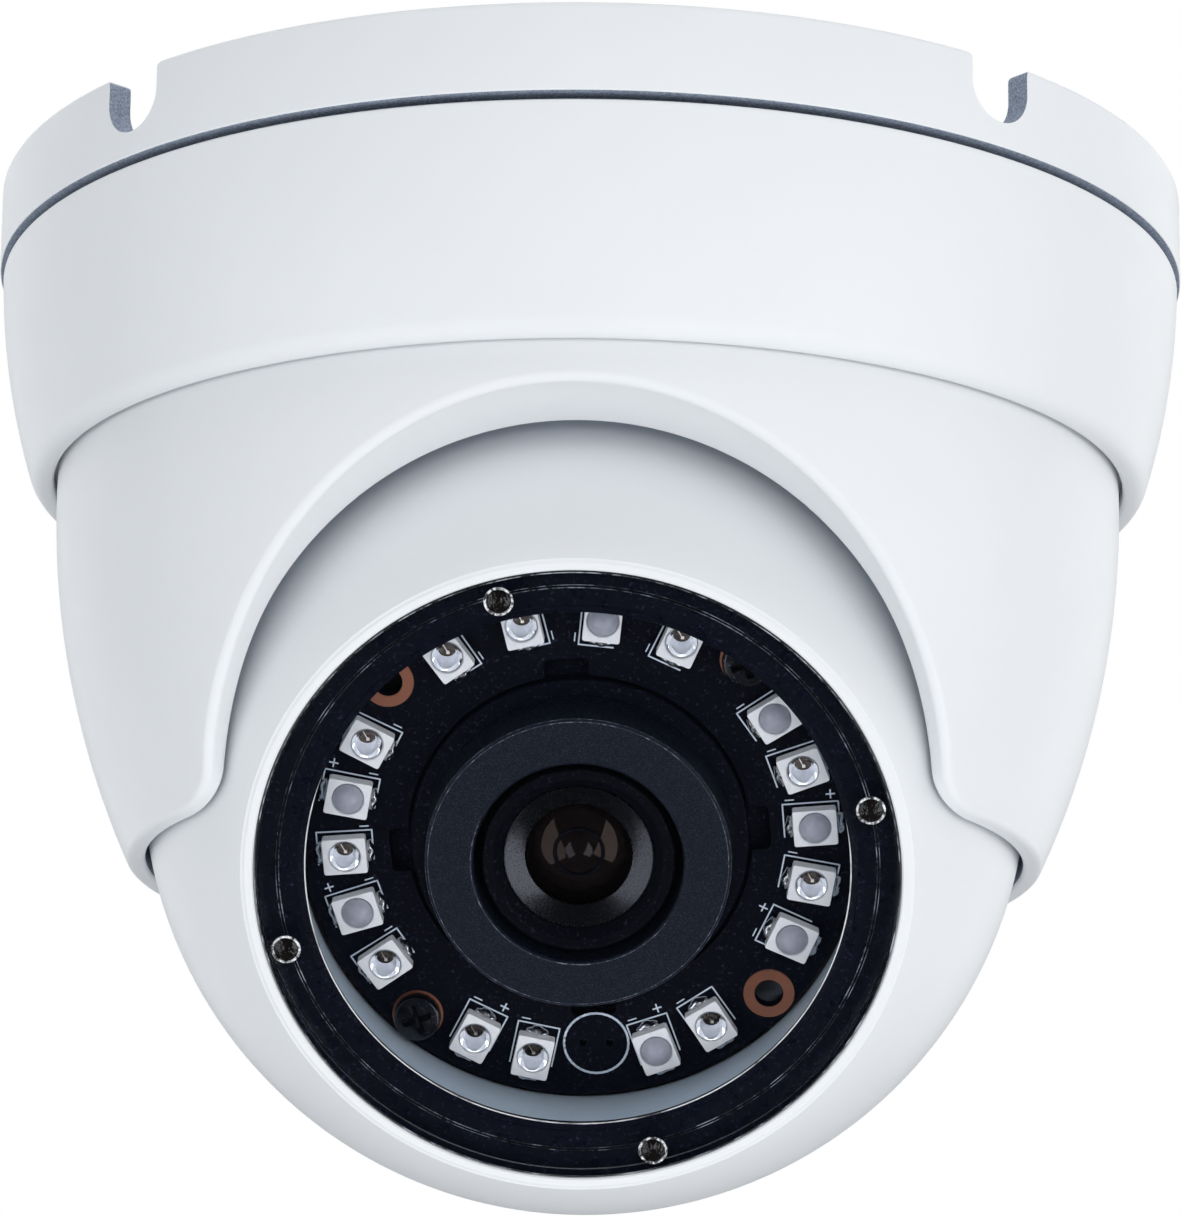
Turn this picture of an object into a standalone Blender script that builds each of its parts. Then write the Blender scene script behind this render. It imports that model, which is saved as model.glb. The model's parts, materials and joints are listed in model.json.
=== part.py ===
"""A ceiling-mounted dome camera: a twist-on cover ring, a hood that pans, and a ball that tilts and turns.

Run with: blender --background --python part.py

The origin is the centre of the face that lies against the ceiling. +Z points up into the ceiling, and the
lens looks towards -Y, down at REST_TILT_DEG. Lengths are in metres.
"""

import math

import bmesh
import bpy
from mathutils import Matrix, Vector

MM = 0.001
CLEAR = 0.3 * MM  # between pieces that touch

# Body: everything turned about the vertical axis
BASE_R = 46.7 * MM
BASE_RIM_Z = -6.8 * MM
BASE_WALL = 2.0 * MM
BASE_FLOOR_TOP_Z = -5.6 * MM
BASE_FLOOR_Z = -7.6 * MM
BASE_YAW_DEG = -2.0  # the base is screwed up a little off the lens direction
COLLAR_R = 43.6 * MM
COLLAR_WALL = 2.4 * MM
COLLAR_Z = -15.0 * MM
NOTCH_HALF_SPACING_DEG = 43.6
NOTCH_WIDTH = 5.6 * MM
NOTCH_DEPTH = 4.9 * MM
CABLE_HOLE_R = 11.0 * MM
SCREW_CIRCLE_R = 33.0 * MM
SCREW_HOLE_R = 2.3 * MM
BOSS_R = 4.8 * MM
BOSS_ANGLES_DEG = (-90.0, 30.0, 150.0)

COVER_TOP_Z = -7.35 * MM
COVER_TOP_R = 46.45 * MM
COVER_ARC_R = 55.9 * MM  # the cover's outer side is an arc in profile
COVER_ARC_CENTRE = (-9.47 * MM, -5.95 * MM)
COVER_BOTTOM_Z = -24.0 * MM
COVER_EDGE_R = 1.8 * MM
COVER_LIP_R = 41.9 * MM
COVER_LIP = 1.3 * MM
COVER_WALL = 1.5 * MM
BAYONET_COUNT = 3
BAYONET_WIDTH = 8.0 * MM
BAYONET_Z = -9.85 * MM  # where the cover's lugs sit on the base's lugs

HOOD_NECK_R = 41.55 * MM
HOOD_FLANGE_R = 43.3 * MM
HOOD_FLANGE_TOP_Z = -20.0 * MM
HOOD_ARC_R = 66.75 * MM  # the hood's outer side is an arc in profile
HOOD_ARC_CENTRE = (-25.14 * MM, -25.01 * MM)
HOOD_RIM_Z = -53.6 * MM
HOOD_WALL = 2.4 * MM
HOOD_SEAT_TOP_Z = -42.8 * MM  # below this the hood is solid down to its ball seat
CLAMP_R = 40.6 * MM
CLAMP_SCREW_R = 36.9 * MM
CLAMP_SCREW_ANGLES_DEG = (30.0, 150.0, 270.0)
ARCH_R = 25.8 * MM  # the cut-out in front is an arch along Y
ARCH_CENTRE_Z = -52.2 * MM
ARCH_FOOT_R = 2.6 * MM  # rounding between the arch and the rim
ARCH_FLARE_R = 1.5 * MM  # the arch opens this much at the outer surface

# Ball and what it holds
BALL_R = 34.29 * MM
BALL_Z = -45.63 * MM
SEAT_R = 34.7 * MM
BALL_WALL = 2.5 * MM
REST_TILT_DEG = 33.45
GUIDE_FRONT_H = 2.2 * MM  # the guide ring's two faces, along the lens axis from the ball's centre
GUIDE_BACK_H = -2.8 * MM
GUIDE_R = 31.3 * MM
SPIGOT_R = 30.9 * MM
PIN_R = 1.2 * MM

WINDOW_H = 23.7 * MM
WINDOW_R = 23.83 * MM
WINDOW_THICK = 1.5 * MM
BEZEL_IN_R = 21.25 * MM
BEZEL_LIP_R = 20.2 * MM
BEZEL_BACK_H = 19.0 * MM
THROAT_R = 21.3 * MM
BOARD_H = 15.0 * MM
BOARD_THICK = 1.0 * MM
BOARD_R = 20.8 * MM
BOARD_HOLE_R = 13.0 * MM
BOARD_ROLL_DEG = 4.0
BOARD_SCREW_R = 18.9 * MM
POST_ANGLES_DEG = (45.0 + BOARD_ROLL_DEG, 225.0 + BOARD_ROLL_DEG)  # where a screw holds the board
CHASSIS_R = 26.6 * MM
CHASSIS_H = 11.0 * MM
CHASSIS_THICK = 1.5 * MM
CHASSIS_SCREW_R = 24.0 * MM
CHASSIS_SCREW_ANGLES_DEG = (30.0, 150.0, 270.0)
LENS_FRONT_H = 19.6 * MM
LENS_R = 7.2 * MM
LENS_THREAD_R = 6.0 * MM
SENSOR_BOARD_H = 1.2 * MM
MAIN_BOARD_H = -9.0 * MM
SQUARE_BOARD_SIDE = 38.0 * MM
SQUARE_BOARD_THICK = 1.4 * MM
STANDOFF_OFFSET = 15.5 * MM
GLAND_R = 4.6 * MM
LED_R = 17.7 * MM
LED_GROUPS = ((4.5, 15.0, 5), (94.0, 19.7, 4), (183.5, 15.0, 5))  # centre angle, spacing, count
LED_LOWER_CENTRE_DEG = 273.5
LED_LOWER_OFFSETS_DEG = (-30.5, -15.4, 15.4, 30.5)

TURN_STEPS = 40
BALL_STEPS = 36
SEAL_STEPS = 24
SMALL_STEPS = 20

PAINT = (0.80, 0.82, 0.84, 1.0)
BLACK = (0.012, 0.013, 0.017, 1.0)


def clear_scene():
    for item in list(bpy.data.objects):
        bpy.data.objects.remove(item, do_unlink=True)


def new_collection(name):
    collection = bpy.data.collections.new(name)
    bpy.context.scene.collection.children.link(collection)
    return collection


def material(name, colour, roughness, metallic=0.0, alpha=1.0):
    made = bpy.data.materials.new(name)
    made.use_nodes = True
    shader = made.node_tree.nodes["Principled BSDF"]
    shader.inputs["Base Color"].default_value = colour
    shader.inputs["Roughness"].default_value = roughness
    shader.inputs["Metallic"].default_value = metallic
    shader.inputs["Alpha"].default_value = alpha
    return made


def empty(name, matrix, parent=None):
    made = bpy.data.objects.new(name, None)
    parts.objects.link(made)
    made.parent = parent
    if parent is not None:
        matrix = parent.matrix_world.inverted() @ matrix
    made.matrix_local = matrix
    bpy.context.view_layer.update()
    return made


def mesh_object(name, shape, parent, look=None, cutter=False):
    """An object holding a bmesh, standing in its parent's frame."""
    mesh = bpy.data.meshes.new(name)
    shape.to_mesh(mesh)
    shape.free()
    made = bpy.data.objects.new(name, mesh)
    (cutters if cutter else parts).objects.link(made)
    made.parent = parent
    if look is not None:
        mesh.materials.append(look)
    if cutter:
        made.hide_render = True
        made.display_type = "WIRE"
    return made


def turned(name, profile, parent, look=None, steps=TURN_STEPS, cutter=False):
    """A profile of (radius, height) points, down its outer side first, turned about the parent's Z axis.

    A profile that starts and ends on the axis makes a solid; any other closes on itself and makes a ring.
    """
    shape = bmesh.new()
    corners = [shape.verts.new((radius, 0, height)) for radius, height in profile]
    for first, second in zip(corners, corners[1:]):
        shape.edges.new((first, second))
    on_axis = profile[0][0] == 0 and profile[-1][0] == 0
    if not on_axis:
        shape.edges.new((corners[-1], corners[0]))
    made = mesh_object(name, shape, parent, look, cutter)
    screw = made.modifiers.new("Turn", "SCREW")
    screw.axis = "Z"
    screw.steps = steps
    screw.render_steps = steps
    screw.use_merge_vertices = True
    screw.merge_threshold = 1e-6
    screw.use_smooth_shade = True
    return made


def arc(centre, radius, start_deg, end_deg, count):
    """Points (radius, height) along an arc of a profile; 0 degrees is outwards and 90 is up."""
    points = []
    for step in range(count):
        angle = math.radians(start_deg + (end_deg - start_deg) * step / (count - 1))
        points.append((centre[0] + radius * math.cos(angle), centre[1] + radius * math.sin(angle)))
    return points


def arc_radius_at(centre, radius, height):
    return centre[0] + math.sqrt(radius**2 - (height - centre[1]) ** 2)


def side_arc(centre, radius, top, bottom, count, inset=0.0):
    """Points down the outside of a profile arc between two heights."""
    points = []
    for step in range(count):
        height = top + (bottom - top) * step / (count - 1)
        points.append((arc_radius_at(centre, radius - inset, height), height))
    return points


def sphere_r(radius, height):
    """The radius of a sphere's section at a height above its centre."""
    return math.sqrt(max(radius**2 - height**2, 0.0))


def sphere_arc(radius, start_h, end_h, count):
    """Points on a sphere about the ball's centre between two heights along the axis."""
    start = math.degrees(math.asin(start_h / radius))
    end = math.degrees(math.asin(end_h / radius))
    return arc((0.0, 0.0), radius, start, end, count)


def cylinder(name, radius, low, high, parent, look=None, steps=SMALL_STEPS, at=(0.0, 0.0), cutter=False):
    shape = bmesh.new()
    bmesh.ops.create_cone(
        shape, cap_ends=True, segments=steps, radius1=radius, radius2=radius, depth=high - low
    )
    bmesh.ops.translate(shape, verts=shape.verts, vec=(at[0], at[1], (low + high) / 2))
    return mesh_object(name, shape, parent, look, cutter)


def block(name, size, centre, parent, look=None, turn_deg=0.0, cutter=False):
    """A box turned about the parent's Z axis after it is put at its centre."""
    shape = bmesh.new()
    bmesh.ops.create_cube(shape, size=1.0)
    bmesh.ops.scale(shape, verts=shape.verts, vec=size)
    bmesh.ops.translate(shape, verts=shape.verts, vec=centre)
    bmesh.ops.rotate(
        shape, verts=shape.verts, cent=(0, 0, 0), matrix=Matrix.Rotation(math.radians(turn_deg), 3, "Z")
    )
    return mesh_object(name, shape, parent, look, cutter)


def combine(target, other, operation="DIFFERENCE"):
    made = target.modifiers.new(other.name, "BOOLEAN")
    made.operation = operation
    made.object = other
    made.solver = "EXACT"
    other.hide_render = True
    other.display_type = "WIRE"
    if other.name in parts.objects:
        parts.objects.unlink(other)
        cutters.objects.link(other)


def polar(radius, angle_deg):
    angle = math.radians(angle_deg)
    return (radius * math.cos(angle), radius * math.sin(angle))


# Base


def notch_cutter(name, azimuth_deg):
    """A U-shaped slot, open at the ceiling face, cut through the rim from the outside."""
    half = NOTCH_WIDTH / 2
    shape = bmesh.new()
    outline = [(-half, 1.0 * MM)]
    for step in range(9):
        angle = math.pi + math.pi * step / 8
        outline.append((half * math.cos(angle), -NOTCH_DEPTH + half + half * math.sin(angle)))
    outline.append((half, 1.0 * MM))
    corners = [shape.verts.new((x, -BASE_R - 2 * MM, z)) for x, z in outline]
    face = shape.faces.new(corners)
    grown = bmesh.ops.extrude_face_region(shape, geom=[face])["geom"]
    moved = [item for item in grown if isinstance(item, bmesh.types.BMVert)]
    bmesh.ops.translate(shape, verts=moved, vec=(0, BASE_WALL + 5 * MM, 0))
    bmesh.ops.recalc_face_normals(shape, faces=shape.faces)
    turn = Matrix.Rotation(math.radians(azimuth_deg), 3, "Z")
    bmesh.ops.rotate(shape, verts=shape.verts, cent=(0, 0, 0), matrix=turn)
    return mesh_object(name, shape, None, cutter=True)


def mounting_base():
    inner = BASE_R - BASE_WALL
    collar_in = COLLAR_R - COLLAR_WALL
    profile = [
        (BASE_R - 0.5 * MM, 0.0),
        (BASE_R - 0.05 * MM, -0.4 * MM),
        (BASE_R, -2.5 * MM),
        (BASE_R - 0.15 * MM, BASE_RIM_Z + 0.4 * MM),
        (BASE_R - 0.5 * MM, BASE_RIM_Z),
        (COLLAR_R, BASE_RIM_Z),
        (COLLAR_R, COLLAR_Z + 0.5 * MM),
        (COLLAR_R - 0.5 * MM, COLLAR_Z),
        (collar_in, COLLAR_Z),
        (collar_in, BASE_FLOOR_Z),
        (CABLE_HOLE_R, BASE_FLOOR_Z),
        (CABLE_HOLE_R, -1.2 * MM),
        (CABLE_HOLE_R + 1.8 * MM, -1.2 * MM),
        (CABLE_HOLE_R + 1.8 * MM, BASE_FLOOR_TOP_Z),
        (inner, BASE_FLOOR_TOP_Z),
        (inner, 0.0),
    ]
    base = turned("mounting_base", profile, None, painted_metal)
    for index, angle in enumerate(BOSS_ANGLES_DEG):
        at = polar(SCREW_CIRCLE_R, angle + BASE_YAW_DEG)
        boss = cylinder(f"screw_boss_{index + 1}", BOSS_R, BASE_FLOOR_Z + MM, 0.0, None, at=at, steps=24)
        combine(base, boss, "UNION")
    for index in range(BAYONET_COUNT):
        turn = index * 360.0 / BAYONET_COUNT + BASE_YAW_DEG
        lug = block(
            f"base_lug_{index + 1}",
            (BAYONET_WIDTH, 1.6 * MM, 2.2 * MM),
            (0, -COLLAR_R - 0.2 * MM, BAYONET_Z - CLEAR / 2 - 1.1 * MM),
            None,
            turn_deg=turn,
        )
        combine(base, lug, "UNION")
    for index, angle in enumerate((-30.0, 90.0, 210.0)):
        low = CABLE_HOLE_R + 1.2 * MM
        high = inner + MM
        rib = block(
            f"base_rib_{index + 1}",
            (high - low, 1.6 * MM, 3.2 * MM),
            ((low + high) / 2, 0, BASE_FLOOR_TOP_Z + 1.0 * MM),
            None,
            turn_deg=angle + BASE_YAW_DEG,
        )
        combine(base, rib, "UNION")
    for index, angle in enumerate(BOSS_ANGLES_DEG):
        at = polar(SCREW_CIRCLE_R, angle + BASE_YAW_DEG)
        hole = cylinder(
            f"screw_hole_{index + 1}", SCREW_HOLE_R, -9 * MM, MM, None, at=at, steps=20, cutter=True
        )
        combine(base, hole)
    for side in (-1, 1):
        azimuth = side * NOTCH_HALF_SPACING_DEG + BASE_YAW_DEG
        combine(base, notch_cutter(f"notch_{'left' if side < 0 else 'right'}", azimuth))


def cable_grommet():
    """A rubber ring snapped into the base's cable hole; a cable would pass through its middle."""
    hole = CABLE_HOLE_R - CLEAR
    profile = [
        (hole + 2.0 * MM, BASE_FLOOR_Z - CLEAR),
        (hole + 2.0 * MM, BASE_FLOOR_Z - 1.3 * MM),
        (hole + 1.3 * MM, BASE_FLOOR_Z - 1.7 * MM),
        (5.2 * MM, BASE_FLOOR_Z - 1.7 * MM),
        (4.0 * MM, BASE_FLOOR_Z - 1.0 * MM),
        (4.0 * MM, BASE_FLOOR_Z + 1.2 * MM),
        (6.0 * MM, BASE_FLOOR_Z + 2.4 * MM),
        (8.6 * MM, -1.0 * MM),
        (hole, -1.0 * MM),
        (hole, BASE_FLOOR_Z - CLEAR),
    ]
    turned("cable_grommet", profile, None, rubber, steps=SMALL_STEPS)


def cover_seal():
    """An O-ring round the collar, squeezed between the base and the cover."""
    ring = arc((COLLAR_R + 0.75 * MM, BASE_RIM_Z - 0.8 * MM), 0.42 * MM, 90, -210, 6)
    turned("cover_seal", ring, None, rubber, SEAL_STEPS)


def pressure_ring():
    """A nylon ring that the base's collar presses on the hood's flange, so that the hood keeps its pan."""
    top = COLLAR_Z - CLEAR
    bottom = HOOD_FLANGE_TOP_Z + CLEAR
    inner = COLLAR_R - COLLAR_WALL
    outer = HOOD_FLANGE_R - 0.4 * MM
    profile = [(outer, top), (outer, bottom), (inner, bottom), (inner, top)]
    turned("pressure_ring", profile, None, nylon, BALL_STEPS)


# Cover


def cover_ring():
    edge_z = COVER_BOTTOM_Z + COVER_EDGE_R
    edge_r = arc_radius_at(COVER_ARC_CENTRE, COVER_ARC_R - COVER_EDGE_R, edge_z)
    lip_top = COVER_BOTTOM_Z + COVER_LIP
    top_inner = COVER_TOP_R - COVER_WALL + 0.1 * MM
    profile = [(COVER_TOP_R - 0.4 * MM, COVER_TOP_Z)]
    profile += side_arc(COVER_ARC_CENTRE, COVER_ARC_R, COVER_TOP_Z - 0.35 * MM, edge_z - 0.1 * MM, 6)
    profile += arc((edge_r, edge_z), COVER_EDGE_R, -22, -90, 4)
    profile += [(COVER_LIP_R + 0.4 * MM, COVER_BOTTOM_Z), (COVER_LIP_R, COVER_BOTTOM_Z + 0.4 * MM)]
    profile += [(COVER_LIP_R, lip_top), (HOOD_FLANGE_R + CLEAR + 0.2 * MM, lip_top)]
    profile += [(HOOD_FLANGE_R + CLEAR + 0.2 * MM, lip_top + 2.4 * MM)]
    profile += [(top_inner, COLLAR_Z + MM), (top_inner, COVER_TOP_Z)]
    cover = turned("cover_ring", profile, cover_axis, painted_metal)
    for index in range(BAYONET_COUNT):
        turn = index * 360.0 / BAYONET_COUNT + BASE_YAW_DEG
        near = COLLAR_R + 0.35 * MM
        far = top_inner + 0.5 * MM
        lug = block(
            f"cover_lug_{index + 1}",
            (BAYONET_WIDTH, far - near, 1.5 * MM),
            (0, -(near + far) / 2, BAYONET_Z + CLEAR / 2 + 0.75 * MM),
            cover_axis,
            turn_deg=turn,
        )
        combine(cover, lug, "UNION")


# Hood


def arch_outline(radius, foot):
    """(x, z) points of the cut-out seen from the front, from its left foot over the arch to the right."""
    half = []
    for step in range(13):
        angle = math.radians(90.0 - 88.0 * step / 12)
        half.append((radius * math.cos(angle), ARCH_CENTRE_Z + radius * math.sin(angle)))
    corner_z = HOOD_RIM_Z + 0.5 * MM + foot
    for step in range(5):
        angle = math.radians(180.0 + 80.0 * step / 4)
        half.append((radius + 0.3 * MM + foot * (1 + math.cos(angle)), corner_z + foot * math.sin(angle)))
    half.append((BASE_R, HOOD_RIM_Z))
    half.append((BASE_R, HOOD_RIM_Z - 6 * MM))
    return [(-x, z) for x, z in reversed(half[1:])] + half


def front_cutter(name, outline, near_y, far_y, parent, flare=0.0, centre_z=ARCH_CENTRE_Z):
    """An outline in the XZ plane, drawn out along Y; it grows by flare about the arch's centre at near_y."""
    shape = bmesh.new()
    front = []
    back = []
    for x, z in outline:
        ray = Vector((x, z - centre_z))
        grown = ray * (1 + flare / ray.length)
        front.append(shape.verts.new((grown.x, near_y, centre_z + grown.y)))
        back.append(shape.verts.new((x, far_y, z)))
    count = len(outline)
    for index in range(count):
        after = (index + 1) % count
        shape.faces.new((front[index], front[after], back[after], back[index]))
    shape.faces.new(front)
    shape.faces.new(list(reversed(back)))
    bmesh.ops.recalc_face_normals(shape, faces=shape.faces)
    return mesh_object(name, shape, parent, cutter=True)


def hood():
    rim_r = arc_radius_at(HOOD_ARC_CENTRE, HOOD_ARC_R, HOOD_RIM_Z + 0.9 * MM)
    seat_rim = sphere_r(SEAT_R, HOOD_RIM_Z + 0.5 * MM - BALL_Z)
    flange_bottom = COVER_BOTTOM_Z + COVER_LIP + CLEAR
    profile = [(0.0, HOOD_FLANGE_TOP_Z), (HOOD_FLANGE_R, HOOD_FLANGE_TOP_Z), (HOOD_FLANGE_R, flange_bottom)]
    profile += [(HOOD_NECK_R, flange_bottom)]
    profile += side_arc(HOOD_ARC_CENTRE, HOOD_ARC_R, -25.0 * MM, HOOD_RIM_Z + 0.9 * MM, 9)
    profile += [(rim_r - 0.35 * MM, HOOD_RIM_Z + 0.25 * MM), ((rim_r + seat_rim) / 2, HOOD_RIM_Z)]
    profile += [(seat_rim, HOOD_RIM_Z + 0.5 * MM), (0.0, HOOD_RIM_Z + 0.5 * MM)]
    shell = turned("hood", profile, pan_axis, painted_metal)
    combine(shell, hood_hollow())
    for index, angle in enumerate(CLAMP_SCREW_ANGLES_DEG):
        at = polar(CLAMP_SCREW_R, angle)
        low = HOOD_FLANGE_TOP_Z - 9.0 * MM
        boss = cylinder(f"clamp_boss_{index + 1}", 3.2 * MM, low, HOOD_FLANGE_TOP_Z, pan_axis, None, 12, at)
        combine(shell, boss, "UNION")
    seat_profile = sphere_arc(SEAT_R, SEAT_R, -SEAT_R, 19)
    seat = turned("ball_seat", seat_profile, ball_centre, None, BALL_STEPS, cutter=True)
    combine(shell, seat)
    arch = front_cutter(
        "arch", arch_outline(ARCH_R, ARCH_FOOT_R), -BASE_R, -4 * MM, pan_axis, flare=ARCH_FLARE_R
    )
    combine(shell, arch)
    for side in (-1, 1):
        socket = cylinder(
            f"pivot_socket_{'left' if side < 0 else 'right'}",
            PIN_R + CLEAR,
            SEAT_R - 2 * MM,
            SEAT_R + 2.2 * MM,
            None,
            steps=20,
            cutter=True,
        )
        socket.matrix_world = Matrix.Translation((0, 0, BALL_Z)) @ Matrix.Rotation(side * math.pi / 2, 4, "Y")
        combine(shell, socket)


def hood_hollow():
    """The space above the ball seat, except for the wall round the arch."""
    top = HOOD_FLANGE_TOP_Z + 2 * MM
    profile = [(0.0, top)]
    profile += [(HOOD_NECK_R - HOOD_WALL, top), (HOOD_NECK_R - HOOD_WALL, -25.0 * MM)]
    profile += side_arc(HOOD_ARC_CENTRE, HOOD_ARC_R, -28.0 * MM, HOOD_SEAT_TOP_Z, 4, inset=HOOD_WALL)
    profile += [(0.0, HOOD_SEAT_TOP_Z)]
    hollow = turned("hood_hollow", profile, pan_axis, cutter=True)
    wall = arch_outline(ARCH_R + HOOD_WALL, ARCH_FOOT_R)
    tunnel = front_cutter("arch_wall", wall, -BASE_R, -4 * MM, pan_axis, flare=ARCH_FLARE_R)
    combine(hollow, tunnel)
    return hollow


def ball_clamp():
    """A steel plate whose dished middle presses the ball into its seat; a gap at the back passes the lead."""
    low = HOOD_FLANGE_TOP_Z + CLEAR - BALL_Z
    high = low + 1.2 * MM
    dish_r = SEAT_R + 1.6 * MM
    profile = [(CLAMP_R, high), (CLAMP_R, low)] + sphere_arc(dish_r, low, 24.0 * MM, 2)
    profile += sphere_arc(SEAT_R, 24.0 * MM, 29.5 * MM, 3) + sphere_arc(dish_r, 29.5 * MM, high, 2)
    clamp = turned("ball_clamp", profile, ball_centre, steel, SEAL_STEPS)
    gap = block("clamp_gap", (22 * MM, 48 * MM, 20 * MM), (0, 26 * MM, 26 * MM), ball_centre, cutter=True)
    combine(clamp, gap)
    for index, angle in enumerate(CLAMP_SCREW_ANGLES_DEG):
        at = polar(CLAMP_SCREW_R, angle)
        name = f"clamp_screw_{index + 1}"
        hole = cylinder(f"{name}_hole", 1.5 * MM, 20 * MM, 30 * MM, ball_centre, None, 12, at, True)
        combine(clamp, hole)
        bottom = high + CLEAR
        head = cylinder(name, 2.4 * MM, bottom, bottom + 1.4 * MM, ball_centre, grey_metal, 12, at)
        shank = cylinder(f"{name}_shank", MM, low, bottom + MM, ball_centre, None, 12, at)
        combine(head, shank, "UNION")


# Guide ring and pins


def guide_ring():
    """A slip ring let into the ball's equator; the ball turns in it about the lens axis."""
    profile = sphere_arc(BALL_R - 0.05 * MM, GUIDE_FRONT_H, GUIDE_BACK_H, 3)
    profile += [(GUIDE_R, GUIDE_BACK_H), (GUIDE_R, GUIDE_FRONT_H)]
    ring = turned("guide_ring", profile, lens_axis, nylon, BALL_STEPS)
    for side in (-1, 1):
        name = "left" if side < 0 else "right"
        pin = cylinder(f"pivot_pin_{name}", PIN_R, GUIDE_R + MM, SEAT_R + 1.8 * MM, None, steps=20)
        pin.matrix_world = Matrix.Translation((0, 0, BALL_Z)) @ Matrix.Rotation(side * math.pi / 2, 4, "Y")
        combine(ring, pin, "UNION")


# Ball


def ball_front():
    """The front shell: it carries the window, and its inside is a throat and then a hollow sphere."""
    inside = BALL_R - BALL_WALL
    pocket_r = WINDOW_R + CLEAR
    pocket_h = WINDOW_H - WINDOW_THICK - 1.0 * MM
    front_face = sphere_r(BALL_R, WINDOW_H)
    profile = [(front_face - 0.25 * MM, WINDOW_H)]
    profile += sphere_arc(BALL_R, WINDOW_H - 0.2 * MM, GUIDE_FRONT_H + CLEAR, 8)
    profile += [(SPIGOT_R + CLEAR, GUIDE_FRONT_H + CLEAR), (SPIGOT_R + CLEAR, GUIDE_FRONT_H + 3.2 * MM)]
    profile += sphere_arc(inside, GUIDE_FRONT_H + 4.4 * MM, BOARD_H + 2.0 * MM, 4)
    profile += [(THROAT_R, BOARD_H + 2.0 * MM), (THROAT_R, BEZEL_BACK_H - CLEAR)]
    profile += [(BEZEL_IN_R + 1.1 * MM, BEZEL_BACK_H - CLEAR), (BEZEL_IN_R + 1.1 * MM, pocket_h)]
    profile += [(pocket_r, pocket_h), (pocket_r, WINDOW_H)]
    shell = turned("ball_front", profile, lens_axis, painted_metal, BALL_STEPS)
    for index, angle in enumerate(CHASSIS_SCREW_ANGLES_DEG):
        at = polar(CHASSIS_SCREW_R, angle)
        low = CHASSIS_H + CLEAR
        high = BOARD_H + 3 * MM
        boss = cylinder(f"front_boss_{index + 1}", 2.6 * MM, low, high, lens_axis, None, 12, at)
        combine(shell, boss, "UNION")


def ball_rear():
    inside = BALL_R - BALL_WALL
    back = GUIDE_BACK_H - CLEAR
    profile = [
        (SPIGOT_R, GUIDE_FRONT_H + 2.4 * MM),
        (SPIGOT_R, back),
    ]
    profile += sphere_arc(BALL_R, back, -sphere_r(BALL_R, GLAND_R + CLEAR), 9)
    profile += [(GLAND_R + CLEAR, -sphere_r(inside, GLAND_R + CLEAR))]
    profile += sphere_arc(inside, -sphere_r(inside, GLAND_R + 1.5 * MM), back - 4.0 * MM, 6)
    profile += [(SPIGOT_R - 2.0 * MM, back), (SPIGOT_R - 2.0 * MM, GUIDE_FRONT_H + 2.4 * MM)]
    turned("ball_rear", profile, lens_axis, painted_metal, BALL_STEPS)


def ball_seal():
    """The O-ring between the ball's two shells, on the end of the rear shell's spigot."""
    ring = arc((SPIGOT_R - 1.0 * MM, GUIDE_FRONT_H + 3.3 * MM), 0.55 * MM, 90, -210, 6)
    turned("ball_seal", ring, lens_axis, rubber, SEAL_STEPS)


def cable_gland():
    """A rubber bush where the camera's lead would leave the ball."""
    outside = -BALL_R - 0.7 * MM
    inside = -(BALL_R - BALL_WALL)
    profile = [
        (GLAND_R + 1.0 * MM, inside + 2.2 * MM),
        (GLAND_R + 1.0 * MM, inside + 0.75 * MM),
        (GLAND_R, inside + 0.75 * MM),
        (GLAND_R, outside + 0.6 * MM),
        (GLAND_R - 0.6 * MM, outside),
        (2.4 * MM, outside),
        (2.4 * MM, inside + 2.2 * MM),
    ]
    turned("cable_gland", profile, lens_axis, rubber, steps=24)


def window():
    back = WINDOW_H - WINDOW_THICK
    profile = [
        (0.0, WINDOW_H - 0.05 * MM),
        (WINDOW_R - 0.3 * MM, WINDOW_H - 0.05 * MM),
        (WINDOW_R, WINDOW_H - 0.3 * MM),
        (WINDOW_R, back),
        (0.0, back),
    ]
    turned("window", profile, lens_axis, clear_plastic, BALL_STEPS)


def window_bezel():
    """The black ring under the window's edge: a thin lip inwards and a short wall down into the throat."""
    top = WINDOW_H - WINDOW_THICK - 0.15 * MM
    profile = [
        (WINDOW_R, top),
        (WINDOW_R, top - 0.6 * MM),
        (BEZEL_IN_R + 0.8 * MM, top - 0.6 * MM),
        (BEZEL_IN_R + 0.8 * MM, BEZEL_BACK_H),
        (BEZEL_IN_R, BEZEL_BACK_H),
        (BEZEL_IN_R, top - 0.7 * MM),
        (BEZEL_LIP_R, top - 0.5 * MM),
        (BEZEL_LIP_R, top),
    ]
    turned("window_bezel", profile, lens_axis, black_plastic, BALL_STEPS)


def lens_shroud():
    """A rubber hood round the lens, with a skirt under the board, that keeps the LEDs' light out of it."""
    profile = [
        (11.1 * MM, 20.4 * MM),
        (11.4 * MM, 20.1 * MM),
        (11.6 * MM, 15.2 * MM),
        (12.7 * MM, 15.2 * MM),
        (12.7 * MM, BOARD_H - BOARD_THICK - CLEAR),
        (14.4 * MM, BOARD_H - BOARD_THICK - CLEAR),
        (14.4 * MM, 13.4 * MM),
        (7.9 * MM, 13.4 * MM),
        (7.8 * MM, 19.0 * MM),
        (8.4 * MM, 20.4 * MM),
    ]
    turned("lens_shroud", profile, lens_axis, rubber, SEAL_STEPS)


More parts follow.
